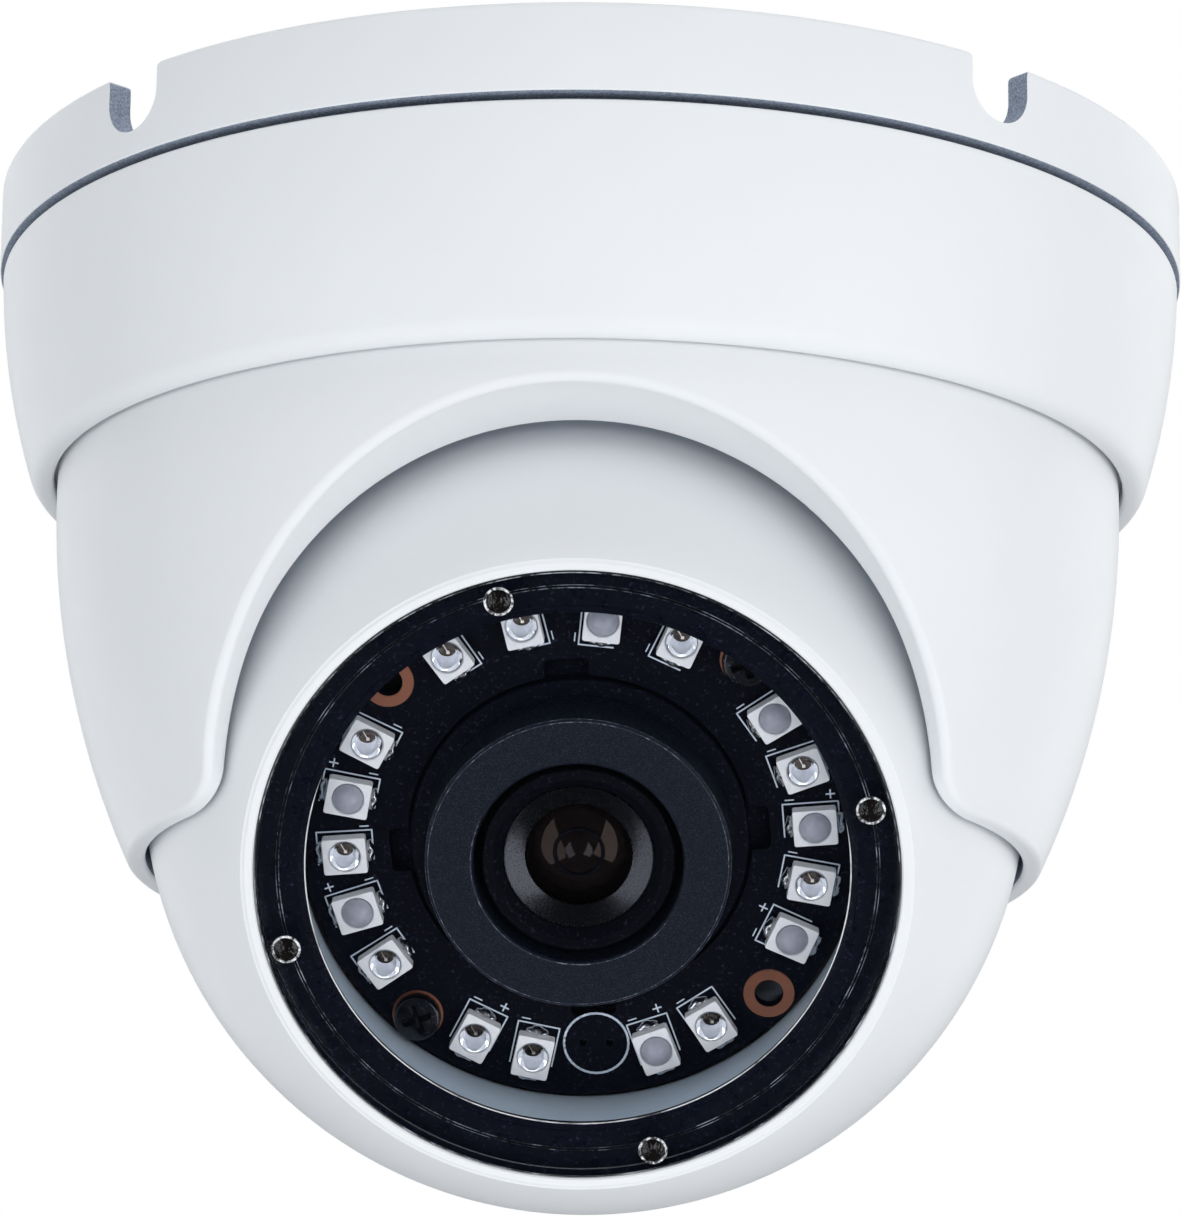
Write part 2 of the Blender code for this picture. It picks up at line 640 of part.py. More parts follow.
def lens_barrel():
    profile = [
        (6.9 * MM, LENS_FRONT_H),
        (LENS_R, LENS_FRONT_H - 0.3 * MM),
        (LENS_R, 13.6 * MM),
        (LENS_THREAD_R, 13.0 * MM),
        (LENS_THREAD_R, 5.6 * MM),
        (4.6 * MM, 5.6 * MM),
        (4.6 * MM, 12.6 * MM),
        (5.9 * MM, 14.4 * MM),
        (5.9 * MM, LENS_FRONT_H),
    ]
    turned("lens_barrel", profile, lens_axis, black_metal, SMALL_STEPS)


def lens_front_ring():
    """The satin cone that holds the front lens element in the barrel."""
    profile = [
        (5.6 * MM, LENS_FRONT_H - 0.2 * MM),
        (5.6 * MM, LENS_FRONT_H - 2.4 * MM),
        (3.75 * MM, LENS_FRONT_H - 2.4 * MM),
        (3.75 * MM, LENS_FRONT_H - 1.6 * MM),
    ]
    turned("lens_front_ring", profile, lens_axis, grey_metal, SMALL_STEPS)


def front_lens():
    rim = LENS_FRONT_H - 2.7 * MM
    profile = [(0.0, rim + 1.0 * MM), (1.5 * MM, rim + 0.85 * MM), (3.4 * MM, rim + 0.1 * MM)]
    profile += [(5.4 * MM, rim), (5.4 * MM, rim - 0.9 * MM), (0.0, rim - 0.9 * MM)]
    turned("front_lens", profile, lens_axis, lens_glass, SMALL_STEPS)


def rear_lens():
    profile = [(0.0, 7.4 * MM), (4.3 * MM, 7.4 * MM), (4.3 * MM, 6.4 * MM), (0.0, 6.0 * MM)]
    turned("rear_lens", profile, lens_axis, lens_glass, steps=24)


def lens_holder():
    """The square-footed mount that the lens barrel screws into, standing on the sensor board."""
    low = SENSOR_BOARD_H + CLEAR
    foot = (17 * MM, 17 * MM, 3.2 * MM)
    holder = block("lens_holder", foot, (0, 0, low + foot[2] / 2), lens_axis, black_plastic)
    tower = cylinder("lens_holder_tower", 7.6 * MM, low + 2 * MM, 11.6 * MM, lens_axis)
    combine(holder, tower, "UNION")
    bore_r = LENS_THREAD_R + CLEAR
    bore = cylinder("lens_holder_bore", bore_r, low + 3.6 * MM, 13 * MM, lens_axis, cutter=True)
    combine(holder, bore)
    room = (11 * MM, 11 * MM, 8 * MM)
    cavity = block("sensor_room", room, (0, 0, low), lens_axis, cutter=True)
    combine(holder, cavity)


def image_sensor():
    size = (7.6 * MM, 6.4 * MM, 0.9 * MM)
    block("image_sensor", size, (0, 0, SENSOR_BOARD_H + 0.6 * MM), lens_axis, black_metal)


def ir_cut_filter():
    """The filter plate between the rear lens and the image sensor."""
    size = (8.6 * MM, 8.6 * MM, 0.6 * MM)
    block("ir_cut_filter", size, (0, 0, SENSOR_BOARD_H + 2.2 * MM), lens_axis, lens_glass)


def square_board(name, top):
    size = (SQUARE_BOARD_SIDE, SQUARE_BOARD_SIDE, SQUARE_BOARD_THICK)
    block(name, size, (0, 0, top - SQUARE_BOARD_THICK / 2), lens_axis, green_board)


def standoffs():
    """Hexagonal pillars: four between the two boards, and four from there to the chassis plate."""
    rear = (MAIN_BOARD_H + CLEAR, SENSOR_BOARD_H - SQUARE_BOARD_THICK - CLEAR)
    front = (SENSOR_BOARD_H + CLEAR, CHASSIS_H - CHASSIS_THICK - CLEAR)
    for index, (across, up) in enumerate(((1, 1), (-1, 1), (-1, -1), (1, -1))):
        at = (across * STANDOFF_OFFSET, up * STANDOFF_OFFSET)
        cylinder(f"board_standoff_{index + 1}", 2.2 * MM, *rear, lens_axis, brass, 6, at)
        cylinder(f"front_standoff_{index + 1}", 2.2 * MM, *front, lens_axis, brass, 6, at)


def chassis_plate():
    """The aluminium plate behind the IR board; two posts carry that board and three screws hold the plate."""
    low = CHASSIS_H - CHASSIS_THICK
    plate = cylinder("chassis_plate", CHASSIS_R, low, CHASSIS_H, lens_axis, aluminium, BALL_STEPS)
    for index, angle in enumerate(POST_ANGLES_DEG):
        at = polar(BOARD_SCREW_R, angle)
        top = BOARD_H - BOARD_THICK - CLEAR
        foot = CHASSIS_H - 0.5 * MM
        post = cylinder(f"board_post_{index + 1}", 2.0 * MM, foot, top, lens_axis, None, 12, at)
        combine(plate, post, "UNION")
    hole = cylinder("chassis_hole", 10.5 * MM, 0.0, BOARD_H, lens_axis, cutter=True)
    combine(plate, hole)
    for index, angle in enumerate(CHASSIS_SCREW_ANGLES_DEG):
        at = polar(CHASSIS_SCREW_R, angle)
        bore = cylinder(f"chassis_bore_{index + 1}", 1.4 * MM, 0.0, BOARD_H, lens_axis, None, 12, at, True)
        combine(plate, bore)


def screw(name, at, head_top, head_r, shank_r, length, look):
    """A pan-head screw along the lens axis whose head's top is at head_top; its tip points to the back."""
    head = 1.1 * MM
    profile = [
        (0.0, head_top),
        (head_r * 0.75, head_top - 0.1 * MM),
        (head_r, head_top - head * 0.6),
        (head_r, head_top - head),
        (shank_r, head_top - head),
        (shank_r, head_top - length + 0.4 * MM),
        (0.0, head_top - length),
    ]
    made = turned(name, profile, lens_axis, look, steps=16)
    made.location = (at[0], at[1], 0.0)
    for arm, size in enumerate(((1.3 * head_r, 0.45 * MM, MM), (0.45 * MM, 1.3 * head_r, MM))):
        recess = block(f"{name}_recess_{arm + 1}", size, (at[0], at[1], head_top), lens_axis, cutter=True)
        combine(made, recess)


def board_screws():
    """Two black screws through the IR board."""
    for index, angle in enumerate(POST_ANGLES_DEG):
        at = polar(BOARD_SCREW_R, angle)
        screw(f"board_screw_{index + 1}", at, BOARD_H + 1.2 * MM, 1.75 * MM, 0.7 * MM, 2.2 * MM, black_metal)


def chassis_screws():
    """Three screws from behind, through the plate and towards the front shell's bosses."""
    for index, angle in enumerate(CHASSIS_SCREW_ANGLES_DEG):
        x, y = polar(CHASSIS_SCREW_R, angle)
        back = CHASSIS_H - CHASSIS_THICK - CLEAR
        name = f"chassis_screw_{index + 1}"
        head = cylinder(name, 2.2 * MM, back - 1.4 * MM, back, lens_axis, grey_metal, 12, (x, y))
        shank = cylinder(f"{name}_shank", MM, back - 0.5 * MM, CHASSIS_H, lens_axis, None, 12, (x, y))
        combine(head, shank, "UNION")


def ir_board():
    """The round board of the infrared LEDs, with the lens in its middle."""
    low = BOARD_H - BOARD_THICK
    profile = [(BOARD_R, BOARD_H), (BOARD_R, low), (BOARD_HOLE_R, low), (BOARD_HOLE_R, BOARD_H)]
    board = turned("ir_board", profile, lens_axis, black_board, BALL_STEPS)
    for index in range(4):
        angle = index * 90.0 + BOARD_ROLL_DEG
        notch = block(
            f"board_notch_{index + 1}",
            (2.6 * MM, 3.4 * MM, 4 * MM),
            (BOARD_HOLE_R, 0, BOARD_H),
            lens_axis,
            turn_deg=angle,
            cutter=True,
        )
        combine(board, notch)
        at = polar(BOARD_SCREW_R, angle + 45.0)
        name = f"board_hole_{index + 1}"
        hole = cylinder(name, 1.1 * MM, low - MM, BOARD_H + MM, lens_axis, None, 16, at, True)
        combine(board, hole)


def led_angles():
    angles = []
    for centre, spacing, count in LED_GROUPS:
        angles += [centre + spacing * (index - (count - 1) / 2) for index in range(count)]
    angles += [LED_LOWER_CENTRE_DEG + offset for offset in LED_LOWER_OFFSETS_DEG]
    return sorted(angle % 360.0 for angle in angles)


def led_mesh():
    """One surface-mounted LED: a white body and a clear dome, standing on z = 0."""
    body = block("led_body", (3.5 * MM, 2.8 * MM, 1.2 * MM), (0, 0, 0.6 * MM), None)
    profile = [(0.0, 1.9 * MM), (0.7 * MM, 1.75 * MM), (1.15 * MM, 1.4 * MM), (1.3 * MM, 0.9 * MM)]
    dome = turned("led_dome", profile + [(0.0, 0.9 * MM)], None, steps=12)
    combine(body, dome, "UNION")
    bpy.context.view_layer.update()
    graph = bpy.context.evaluated_depsgraph_get()
    mesh = bpy.data.meshes.new_from_object(body.evaluated_get(graph))
    mesh.materials.clear()
    mesh.materials.append(led_white)
    for item in (body, dome):
        bpy.data.objects.remove(item, do_unlink=True)
    return mesh


def ir_leds():
    mesh = led_mesh()
    for index, angle in enumerate(led_angles()):
        led = bpy.data.objects.new(f"ir_led_{index + 1:02d}", mesh)
        parts.objects.link(led)
        led.parent = lens_axis
        x, y = polar(LED_R, angle)
        led.location = (x, y, BOARD_H + 0.1 * MM)
        led.rotation_euler = (0, 0, math.radians(angle))


clear_scene()
parts = new_collection("dome_camera")
cutters = new_collection("cutters")

painted_metal = material("painted_metal", PAINT, 0.38)
rubber = material("rubber", (0.020, 0.022, 0.026, 1.0), 0.85)
nylon = material("nylon", (0.62, 0.63, 0.62, 1.0), 0.5)
steel = material("steel", (0.55, 0.56, 0.58, 1.0), 0.35, 1.0)
aluminium = material("aluminium", (0.62, 0.63, 0.65, 1.0), 0.4, 1.0)
brass = material("brass", (0.70, 0.52, 0.24, 1.0), 0.3, 1.0)
black_metal = material("black_metal", BLACK, 0.35)
grey_metal = material("grey_metal", (0.30, 0.31, 0.33, 1.0), 0.35, 1.0)
black_plastic = material("black_plastic", BLACK, 0.3)
black_board = material("black_board", (0.010, 0.012, 0.018, 1.0), 0.4)
green_board = material("green_board", (0.03, 0.16, 0.09, 1.0), 0.4)
led_white = material("led_white", (0.78, 0.76, 0.72, 1.0), 0.4)
lens_glass = material("lens_glass", (0.05, 0.04, 0.05, 1.0), 0.03, alpha=0.5)
clear_plastic = material("clear_plastic", (0.9, 0.93, 0.95, 1.0), 0.03, alpha=0.15)

TILT = math.radians(REST_TILT_DEG)
ball_place = Matrix.Translation((0, 0, BALL_Z))
# The lens frame: X to the right seen from the front, Y up in the window's plane, Z out along the lens axis
lens_turn = Matrix(((1, 0, 0), (0, -math.sin(TILT), -math.cos(TILT)), (0, math.cos(TILT), -math.sin(TILT))))
pan_axis = empty("pan_axis", Matrix.Identity(4))
cover_axis = empty("cover_axis", Matrix.Identity(4))
ball_centre = empty("tilt_axis", ball_place, pan_axis)
lens_axis = empty("lens_axis", ball_place @ lens_turn.to_4x4(), ball_centre)

mounting_base()
cable_grommet()
cover_seal()
pressure_ring()
cover_ring()
hood()
ball_clamp()
guide_ring()
ball_front()
ball_rear()
ball_seal()
cable_gland()
window()
window_bezel()
lens_shroud()
lens_barrel()
lens_front_ring()
front_lens()
rear_lens()
lens_holder()
ir_cut_filter()
image_sensor()
square_board("sensor_board", SENSOR_BOARD_H)
square_board("main_board", MAIN_BOARD_H)
standoffs()
chassis_plate()
ir_board()
board_screws()
chassis_screws()
ir_leds()
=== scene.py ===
"""The looks of the dome camera: its shells, the lens and LED board behind the window, paint and light.

Outlines, radii and heights are in millimetres and become metres where a mesh is made. A height h is
measured along a piece's own axis: the vertical one, or the lens axis from the ball's centre.
"""

import json
import math

import bmesh
import bpy
import numpy as np
from mathutils import Matrix, Vector


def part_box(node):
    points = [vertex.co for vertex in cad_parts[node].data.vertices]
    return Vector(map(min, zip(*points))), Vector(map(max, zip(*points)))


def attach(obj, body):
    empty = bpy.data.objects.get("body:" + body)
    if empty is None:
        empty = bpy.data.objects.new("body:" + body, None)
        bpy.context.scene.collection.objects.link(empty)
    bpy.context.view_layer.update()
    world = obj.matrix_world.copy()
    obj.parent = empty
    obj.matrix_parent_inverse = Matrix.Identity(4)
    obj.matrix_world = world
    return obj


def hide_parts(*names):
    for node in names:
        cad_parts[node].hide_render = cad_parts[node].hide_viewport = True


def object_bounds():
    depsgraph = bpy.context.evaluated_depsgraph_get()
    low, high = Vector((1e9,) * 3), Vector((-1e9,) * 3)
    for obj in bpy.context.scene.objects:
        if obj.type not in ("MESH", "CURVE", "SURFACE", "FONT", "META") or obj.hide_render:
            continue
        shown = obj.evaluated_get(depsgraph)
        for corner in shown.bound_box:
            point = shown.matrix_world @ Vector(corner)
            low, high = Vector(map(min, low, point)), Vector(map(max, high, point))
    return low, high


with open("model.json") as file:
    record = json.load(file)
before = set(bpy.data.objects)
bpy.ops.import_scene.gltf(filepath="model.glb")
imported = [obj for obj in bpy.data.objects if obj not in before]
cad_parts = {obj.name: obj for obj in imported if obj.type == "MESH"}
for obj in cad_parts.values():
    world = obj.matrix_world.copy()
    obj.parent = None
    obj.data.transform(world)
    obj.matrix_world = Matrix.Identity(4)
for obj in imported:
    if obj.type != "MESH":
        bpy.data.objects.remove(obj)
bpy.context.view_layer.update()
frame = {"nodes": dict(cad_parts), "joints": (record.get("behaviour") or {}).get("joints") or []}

MM = 0.001
RING_STEPS = 240
LENS_STEPS = 192
SMALL_STEPS = 96
SMOOTH_DEG = 35.0  # edges sharper than this stay sharp

joints = {joint["name"]: joint for joint in frame["joints"]}
BALL_CENTRE = Vector(joints["lens_turn"]["pos_m"])
BALL_Z = BALL_CENTRE.z / MM
LENS_AXIS = Vector(joints["lens_turn"]["axis"])
BASE_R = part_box("mounting_base")[1].x / MM
COVER_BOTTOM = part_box("cover_ring")[0].z / MM
HOOD_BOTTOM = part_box("hood")[0].z / MM
HOOD_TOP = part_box("hood")[1].z / MM
BALL_R = BALL_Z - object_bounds()[0].z / MM

# Base and cover
BASE_WALL = 2.0
RIM_BOTTOM = -6.8
COLLAR_R = 43.6
COLLAR_IN_R = 41.2
COLLAR_BOTTOM = -15.0
COLLAR_SLATE_Z = -9.6  # the collar is slate-grey above this
FLOOR_TOP = -5.6
FLOOR_BOTTOM = -7.6
CABLE_HOLE_R = 11.0
CABLE_RING_R = 12.8
BOSS_CIRCLE_R = 33.0
NOTCH_AZIMUTHS = (-45.6, 41.6)  # from the lens direction, positive towards +X
NOTCH_WIDTH = 5.6
NOTCH_DEPTH = 4.9
NOTCH_MOUTH_R = 0.6
BASE_YAW = -2.0
COVER_TOP = -7.35
COVER_ARC = (-9.47, -5.95, 55.9)  # centre radius, centre height, radius of the side's arc
COVER_LIP_R = 41.9
COVER_EDGE_R = 1.8
COVER_BORE_R = 45.05
HOOD_ARC = (-25.14, -25.01, 66.75)
HOOD_WALL_TOP = COVER_BOTTOM + 1.6
SEAT_R = 34.7
SEAT_TOP = 21.6  # above the ball's centre
FLANGE_R = 43.3
HOOD_BORE_R = 39.1

# The arch: a circle at its inner edge and a slightly wider one at the hood's outer surface
ARCH_INNER = (26.1, -52.95)
ARCH_OUTER = (27.2, -54.1)
SHOULDER_R = 2.7
ARCH_ROUNDING = 0.7
SEAT_LIP_ROUNDING = 0.30
ARCH_STEPS = 105  # columns from the peak to the end of the shoulder
RIM_STEPS = 90  # and from there to the middle of the back
ARCH_GAP = 1.9  # how far the arch's inner edge stands off the seat at its peak
GAP_SPAN = (-50.9, -38.0)  # the heights between which it opens

# Ball, window and board
BALL_WALL = 2.5
CABLE_BORE_R = 4.9
WINDOW_H = 23.7
WINDOW_R = 23.83
BEZEL_TOP = 22.05
BEZEL_LIP_R = 20.2
BEZEL_BACK = 19.0
THROAT_R = 21.3
THROAT_WALL = 0.1
BOARD_H = 15.0
BOARD_R = 20.8
BOARD_HOLE_R = 13.0
BOARD_ROLL = 4.0
PAD_R = 18.9
LED_R = 17.7
LED_HALF = (1.65, 1.4)
LED_TOP = 1.2
LED_STEPS = 96
MILKY_LEDS = (0, 2, 4, 8, 10, 14, 16)  # counted round the board from the right
UNFITTED_AT = (16.6, 274.0)  # the ring on the board where a part isn't fitted
PIP_R = 22.3
PIP_ROLL = 14.5
SHROUD_H = 20.4
LENS_H = 19.6

# Stage, in metres
FLOOR_Z = -1.1
FLOOR_HALF = 12.0
WORLD_FILL = 0.20
WORLD_IN_GLOSS = 0.06
SHADE_TINT = (0.86, 0.93, 1.0, 1.0)
WHITE_LIGHT = (1.0, 1.0, 1.0)
COOL_LIGHT = (0.98, 0.99, 1.0)
# name, place, size, watts, colour; each one points at the ball
LIGHTS = (
    ("overhead", (0.0, 0.0, 1.6), (3.0, 3.0), 30.0, WHITE_LIGHT),
    ("low_left", (-0.68, -0.56, -0.50), (0.6, 1.2), 3.7, COOL_LIGHT),
    ("low_right", (0.70, -0.58, -0.46), (0.6, 1.2), 4.7, WHITE_LIGHT),
    ("key_right", (1.00, -0.25, 0.20), (0.6, 0.9), 2.9, WHITE_LIGHT),
    ("fill_left", (-1.00, -0.25, 0.20), (0.6, 0.9), 1.4, COOL_LIGHT),
    ("front", (0.05, -1.0, -0.06), (0.7, 0.35), 3.0, WHITE_LIGHT),
    ("under", (0.0, -0.15, -0.85), (1.0, 1.0), 3.5, WHITE_LIGHT),
    ("back_left", (-0.70, 0.80, 0.15), (0.7, 1.0), 3.4, COOL_LIGHT),
    ("back_right", (0.70, 0.80, 0.15), (0.7, 1.0), 3.4, WHITE_LIGHT),
)
UNSEEN_LIGHTS = ("front", "under")  # they light the object but don't show in it or behind it

# Camera, in metres and degrees
CAMERA_PLACE = (0.01112, -0.42455, -0.14876)
CAMERA_AZIMUTH = 1.5
CAMERA_PITCH = 15.308
CAMERA_ROLL = 0.61
CAMERA_LENS_MM = 166.3
CAMERA_SHIFT = 0.003


# Mesh tools


def place_lens():
    """The lens frame: X to the right, Y up in the window's plane, Z out along the lens axis."""
    across = Vector((1, 0, 0))
    up = LENS_AXIS.cross(across)
    turn = Matrix((across, up, LENS_AXIS)).transposed().to_4x4()
    return Matrix.Translation(BALL_CENTRE) @ turn


UPRIGHT = Matrix.Identity(4)
LENS = place_lens()


def spin(angle_deg):
    return Matrix.Rotation(math.radians(angle_deg), 4, "Z")


def add_object(name, data):
    made = bpy.data.objects.new(name, data)
    bpy.context.scene.collection.objects.link(made)
    return made


def take_mesh(shape, name):
    """The bmesh as a mesh of that name."""
    mesh = bpy.data.meshes.new(name)
    shape.to_mesh(mesh)
    shape.free()
    return mesh


def finish_mesh(name, mesh, look, sharp_deg=SMOOTH_DEG):
    mesh.shade_smooth()
    mesh.set_sharp_from_angle(angle=math.radians(sharp_deg))
    if look is not None:
        mesh.materials.append(look)
    return add_object(name, mesh)


def surface(name, points, look=None, place=UPRIGHT, wrap_rows=False, sharp_deg=SMOOTH_DEG, wrap_columns=True):
    """A surface through a grid of points in millimetres, closed along its rows and columns or left open."""
    rows, columns = points.shape[:2]
    index = np.arange(rows * columns).reshape(rows, columns)
    lower = np.roll(index, -1, 0) if wrap_rows else index[1:]
    upper = index if wrap_rows else index[:-1]
    quads = np.stack([upper, lower, np.roll(lower, -1, 1), np.roll(upper, -1, 1)], -1)
    if not wrap_columns:
        quads = quads[:, :-1]
    mesh = bpy.data.meshes.new(name)
    mesh.from_pydata((points.reshape(-1, 3) * MM).tolist(), [], quads.reshape(-1, 4).tolist())
    shape = bmesh.new()
    shape.from_mesh(mesh)
    bmesh.ops.remove_doubles(shape, verts=shape.verts, dist=1e-7)
    bmesh.ops.recalc_face_normals(shape, faces=shape.faces)
    bmesh.ops.transform(shape, matrix=place, verts=shape.verts)
    shape.to_mesh(mesh)
    shape.free()
    return finish_mesh(name, mesh, look, sharp_deg)


def turned(name, outline, look=None, place=UPRIGHT, steps=RING_STEPS, at=(0.0, 0.0), sharp_deg=SMOOTH_DEG):
    """(radius, height) points turned about the axis; unless they end on the axis they close on themselves."""
    outline = np.array(outline, float)
    angles = np.linspace(0, 2 * math.pi, steps, endpoint=False)
    points = np.empty((len(outline), steps, 3))
    points[..., 0] = outline[:, :1] * np.cos(angles) + at[0]
    points[..., 1] = outline[:, :1] * np.sin(angles) + at[1]
    points[..., 2] = outline[:, 1:]
    ring = not (outline[0, 0] == 0 and outline[-1, 0] == 0)
    return surface(name, points, look, place, ring, sharp_deg)


def painted_highlight_line(name, radius, height, thick, span_deg, look, slot, at=(0.0, 0.0), steps=RING_STEPS):
    """A thin line of painted highlight round the lens axis, whole or over a span of angles, that rides on the
    ball.
    """
    full = span_deg[1] - span_deg[0] >= 360
    angles = np.radians(np.linspace(*span_deg, steps, endpoint=not full))
    outline = np.array(arc((radius, height), thick, 0, 315, 8))
    ends = np.ones(steps)
    if not full:
        ends = np.clip(np.minimum(angles - angles[0], angles[-1] - angles) / 0.15, 0.02, 1)
    points = np.empty((len(outline), steps, 3))
    reach = radius + (outline[:, :1] - radius) * ends
    points[..., 0] = reach * np.cos(angles) + at[0]
    points[..., 1] = reach * np.sin(angles) + at[1]
    points[..., 2] = height + (outline[:, 1:] - height) * ends
    ring = surface(name, points, look, LENS, True, 80.0, full)
    return stands_for(ring, "ball", slot)


def arc(centre, radius, start_deg, end_deg, count):
    angles = np.radians(np.linspace(start_deg, end_deg, count))
    return [(centre[0] + radius * math.cos(a), centre[1] + radius * math.sin(a)) for a in angles]


def rounded(corners, steps=5):
    """A closed outline through (radius, height, rounding) corners."""
    made = []
    for index, (x, y, rounding) in enumerate(corners):
        here = np.array((x, y))
        if rounding == 0:
            made.append((x, y))
            continue
        before = np.array(corners[index - 1][:2]) - here
        after = np.array(corners[(index + 1) % len(corners)][:2]) - here
        before /= np.linalg.norm(before)
        after /= np.linalg.norm(after)
        half = math.acos(np.clip(before @ after, -1, 1)) / 2
        middle = (before + after) / np.linalg.norm(before + after)
        centre = here + middle * rounding / math.sin(half)
        start = here + before * rounding / math.tan(half) - centre
        end = here + after * rounding / math.tan(half) - centre
        for share in np.linspace(0, 1, steps):
            direction = start * (1 - share) + end * share
            made.append(tuple(centre + direction / np.linalg.norm(direction) * rounding))
    return made


def side_r(shape, height):
    """The radius of a side whose profile is an arc (centre radius, centre height, arc radius)."""
    return shape[0] + np.sqrt(shape[2] ** 2 - (height - shape[1]) ** 2)


def side_points(shape, top, bottom, count):
    return [(side_r(shape, height), height) for height in np.linspace(top, bottom, count)]


def sphere_points(radius, start_h, end_h, count):
    start = math.degrees(math.asin(start_h / radius))
    end = math.degrees(math.asin(end_h / radius))
    return arc((0, 0), radius, start, end, count)


def polar(radius, angle_deg):
    angle = math.radians(angle_deg)
    return radius * math.cos(angle), radius * math.sin(angle)


def prism(name, outline, low, high, look=None, place=UPRIGHT):
    """A flat outline of (x, y) points drawn out along the third axis."""
    shape = bmesh.new()
    face = shape.faces.new([shape.verts.new((x * MM, y * MM, low * MM)) for x, y in outline])
    grown = bmesh.ops.extrude_face_region(shape, geom=[face])["geom"]
    moved = [item for item in grown if isinstance(item, bmesh.types.BMVert)]
    bmesh.ops.translate(shape, verts=moved, vec=(0, 0, (high - low) * MM))
    bmesh.ops.recalc_face_normals(shape, faces=shape.faces)
    bmesh.ops.transform(shape, matrix=place, verts=shape.verts)
    return finish_mesh(name, take_mesh(shape, name), look)


def bar(shape, size, at, turn_rad, place=UPRIGHT):
    """Adds a box of that size in millimetres to the bmesh, turned about its third axis."""
    scale = Matrix.Diagonal((*(length * MM for length in size), 1.0))
    matrix = place @ Matrix.Translation(Vector(at) * MM) @ Matrix.Rotation(turn_rad, 4, "Z") @ scale
    return bmesh.ops.create_cube(shape, size=1.0, matrix=matrix)["verts"]


def combine(target, others, operation="DIFFERENCE"):
    """Cuts the others from the target, or joins them to it, and removes them."""
    for other in others:
        step = target.modifiers.new(other.name, "BOOLEAN")
        step.operation = operation
        step.object = other
        step.solver = "EXACT"
    bpy.context.view_layer.update()
    graph = bpy.context.evaluated_depsgraph_get()
    mesh = bpy.data.meshes.new_from_object(target.evaluated_get(graph))
    target.modifiers.clear()
    mesh.shade_smooth()
    mesh.set_sharp_from_angle(angle=math.radians(SMOOTH_DEG))
    target.data = mesh
    for other in others:
        bpy.data.objects.remove(other, do_unlink=True)


def stands_for(piece, body, slot, *nodes):
    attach(piece, body)
    if nodes:
        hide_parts(*nodes)
    return piece


def on_ball(name, outline, look, slot, *nodes, steps=RING_STEPS, at=(0.0, 0.0), sharp_deg=SMOOTH_DEG):
    """A turned piece about the lens axis that rides on the ball."""
    return stands_for(turned(name, outline, look, LENS, steps, at, sharp_deg), "ball", slot, *nodes)


# Materials


class Look:
    """A material with a principled shader and short ways to add its noise."""

    def __init__(self, name, colour, roughness, metallic=0.0, specular=0.5):
        self.material = bpy.data.materials.new(name)
        self.material.use_nodes = True
        self.tree = self.material.node_tree
        self.shader = self.tree.nodes["Principled BSDF"]
        self.set("Base Color", (*colour, 1.0))
        self.set("Roughness", roughness)
        self.set("Metallic", metallic)
        self.set("Specular IOR Level", specular)
        self.place = self.tree.nodes.new("ShaderNodeTexCoord").outputs["Object"]

    def set(self, name, value):
        self.shader.inputs[name].default_value = value

    def noise(self, size, detail=3.0, roughness=0.55):
        """Noise whose features are about that many millimetres across."""
        made = self.tree.nodes.new("ShaderNodeTexNoise")
        made.inputs["Scale"].default_value = 1 / (size * MM)
        made.inputs["Detail"].default_value = detail
        made.inputs["Roughness"].default_value = roughness
        self.tree.links.new(self.place, made.inputs["Vector"])
        return made.outputs["Fac"]

    def ramp(self, value, low, high, start, end):
        """The value spread from one number or colour to another."""
        if isinstance(low, tuple):
            made = self.tree.nodes.new("ShaderNodeValToRGB")
            made.color_ramp.elements[0].position = start
            made.color_ramp.elements[1].position = end
            made.color_ramp.elements[0].color = (*low, 1.0)
            made.color_ramp.elements[1].color = (*high, 1.0)
            self.tree.links.new(value, made.inputs["Fac"])
            return made.outputs["Color"]
        made = self.tree.nodes.new("ShaderNodeMapRange")
        for socket, number in (("From Min", start), ("From Max", end), ("To Min", low), ("To Max", high)):
            made.inputs[socket].default_value = number
        self.tree.links.new(value, made.inputs["Value"])
        return made.outputs["Result"]

    def vary(self, name, size, low, high, start=0.3, end=0.7, detail=3.0, roughness=0.55):
        """An input that changes from one number or colour to another in patches of that size."""
        noise = self.noise(size, detail, roughness)
        self.tree.links.new(self.ramp(noise, low, high, start, end), self.shader.inputs[name])

    def bump(self, value, height):
        """Relief whose full height is that many millimetres; a second one lies on top of the first."""
        made = self.tree.nodes.new("ShaderNodeBump")
        made.inputs["Distance"].default_value = height * MM
        self.tree.links.new(value, made.inputs["Height"])
        before = self.shader.inputs["Normal"].links
        if before:
            self.tree.links.new(before[0].from_socket, made.inputs["Normal"])
        self.tree.links.new(made.outputs["Normal"], self.shader.inputs["Normal"])


def paint(name, tint=1.0, base=(0.735, 0.752, 0.772)):
    """Satin cool-white powder coat: fine orange peel, and a slight change of gloss over centimetres."""
    colour = tuple(c * tint for c in base)
    look = Look(name, colour, 0.42, specular=0.16)
    light = tuple(c * 1.012 for c in colour)
    look.vary("Base Color", 9.0, colour, light, detail=2.0)
    look.vary("Roughness", 2.5, 0.38, 0.46)
    look.bump(look.noise(0.9, 2.0), 0.004)
    look.bump(look.noise(0.22, 2.0), 0.0012)
    return look.material


def slate_and_painted_shade(name):
    """Slate-grey, fine, speckled and matt: on the base's groove and notch walls, and painted shade on the
    hood's seat.
    """
    look = Look(name, (0.24, 0.28, 0.36), 0.7, specular=0.2)
    dark, light = (0.16, 0.195, 0.26), (0.36, 0.41, 0.50)
    look.vary("Base Color", 0.16, dark, light, 0.35, 0.65)
    look.vary("Roughness", 0.6, 0.6, 0.8)
    look.bump(look.noise(0.16), 0.012)
    return look.material


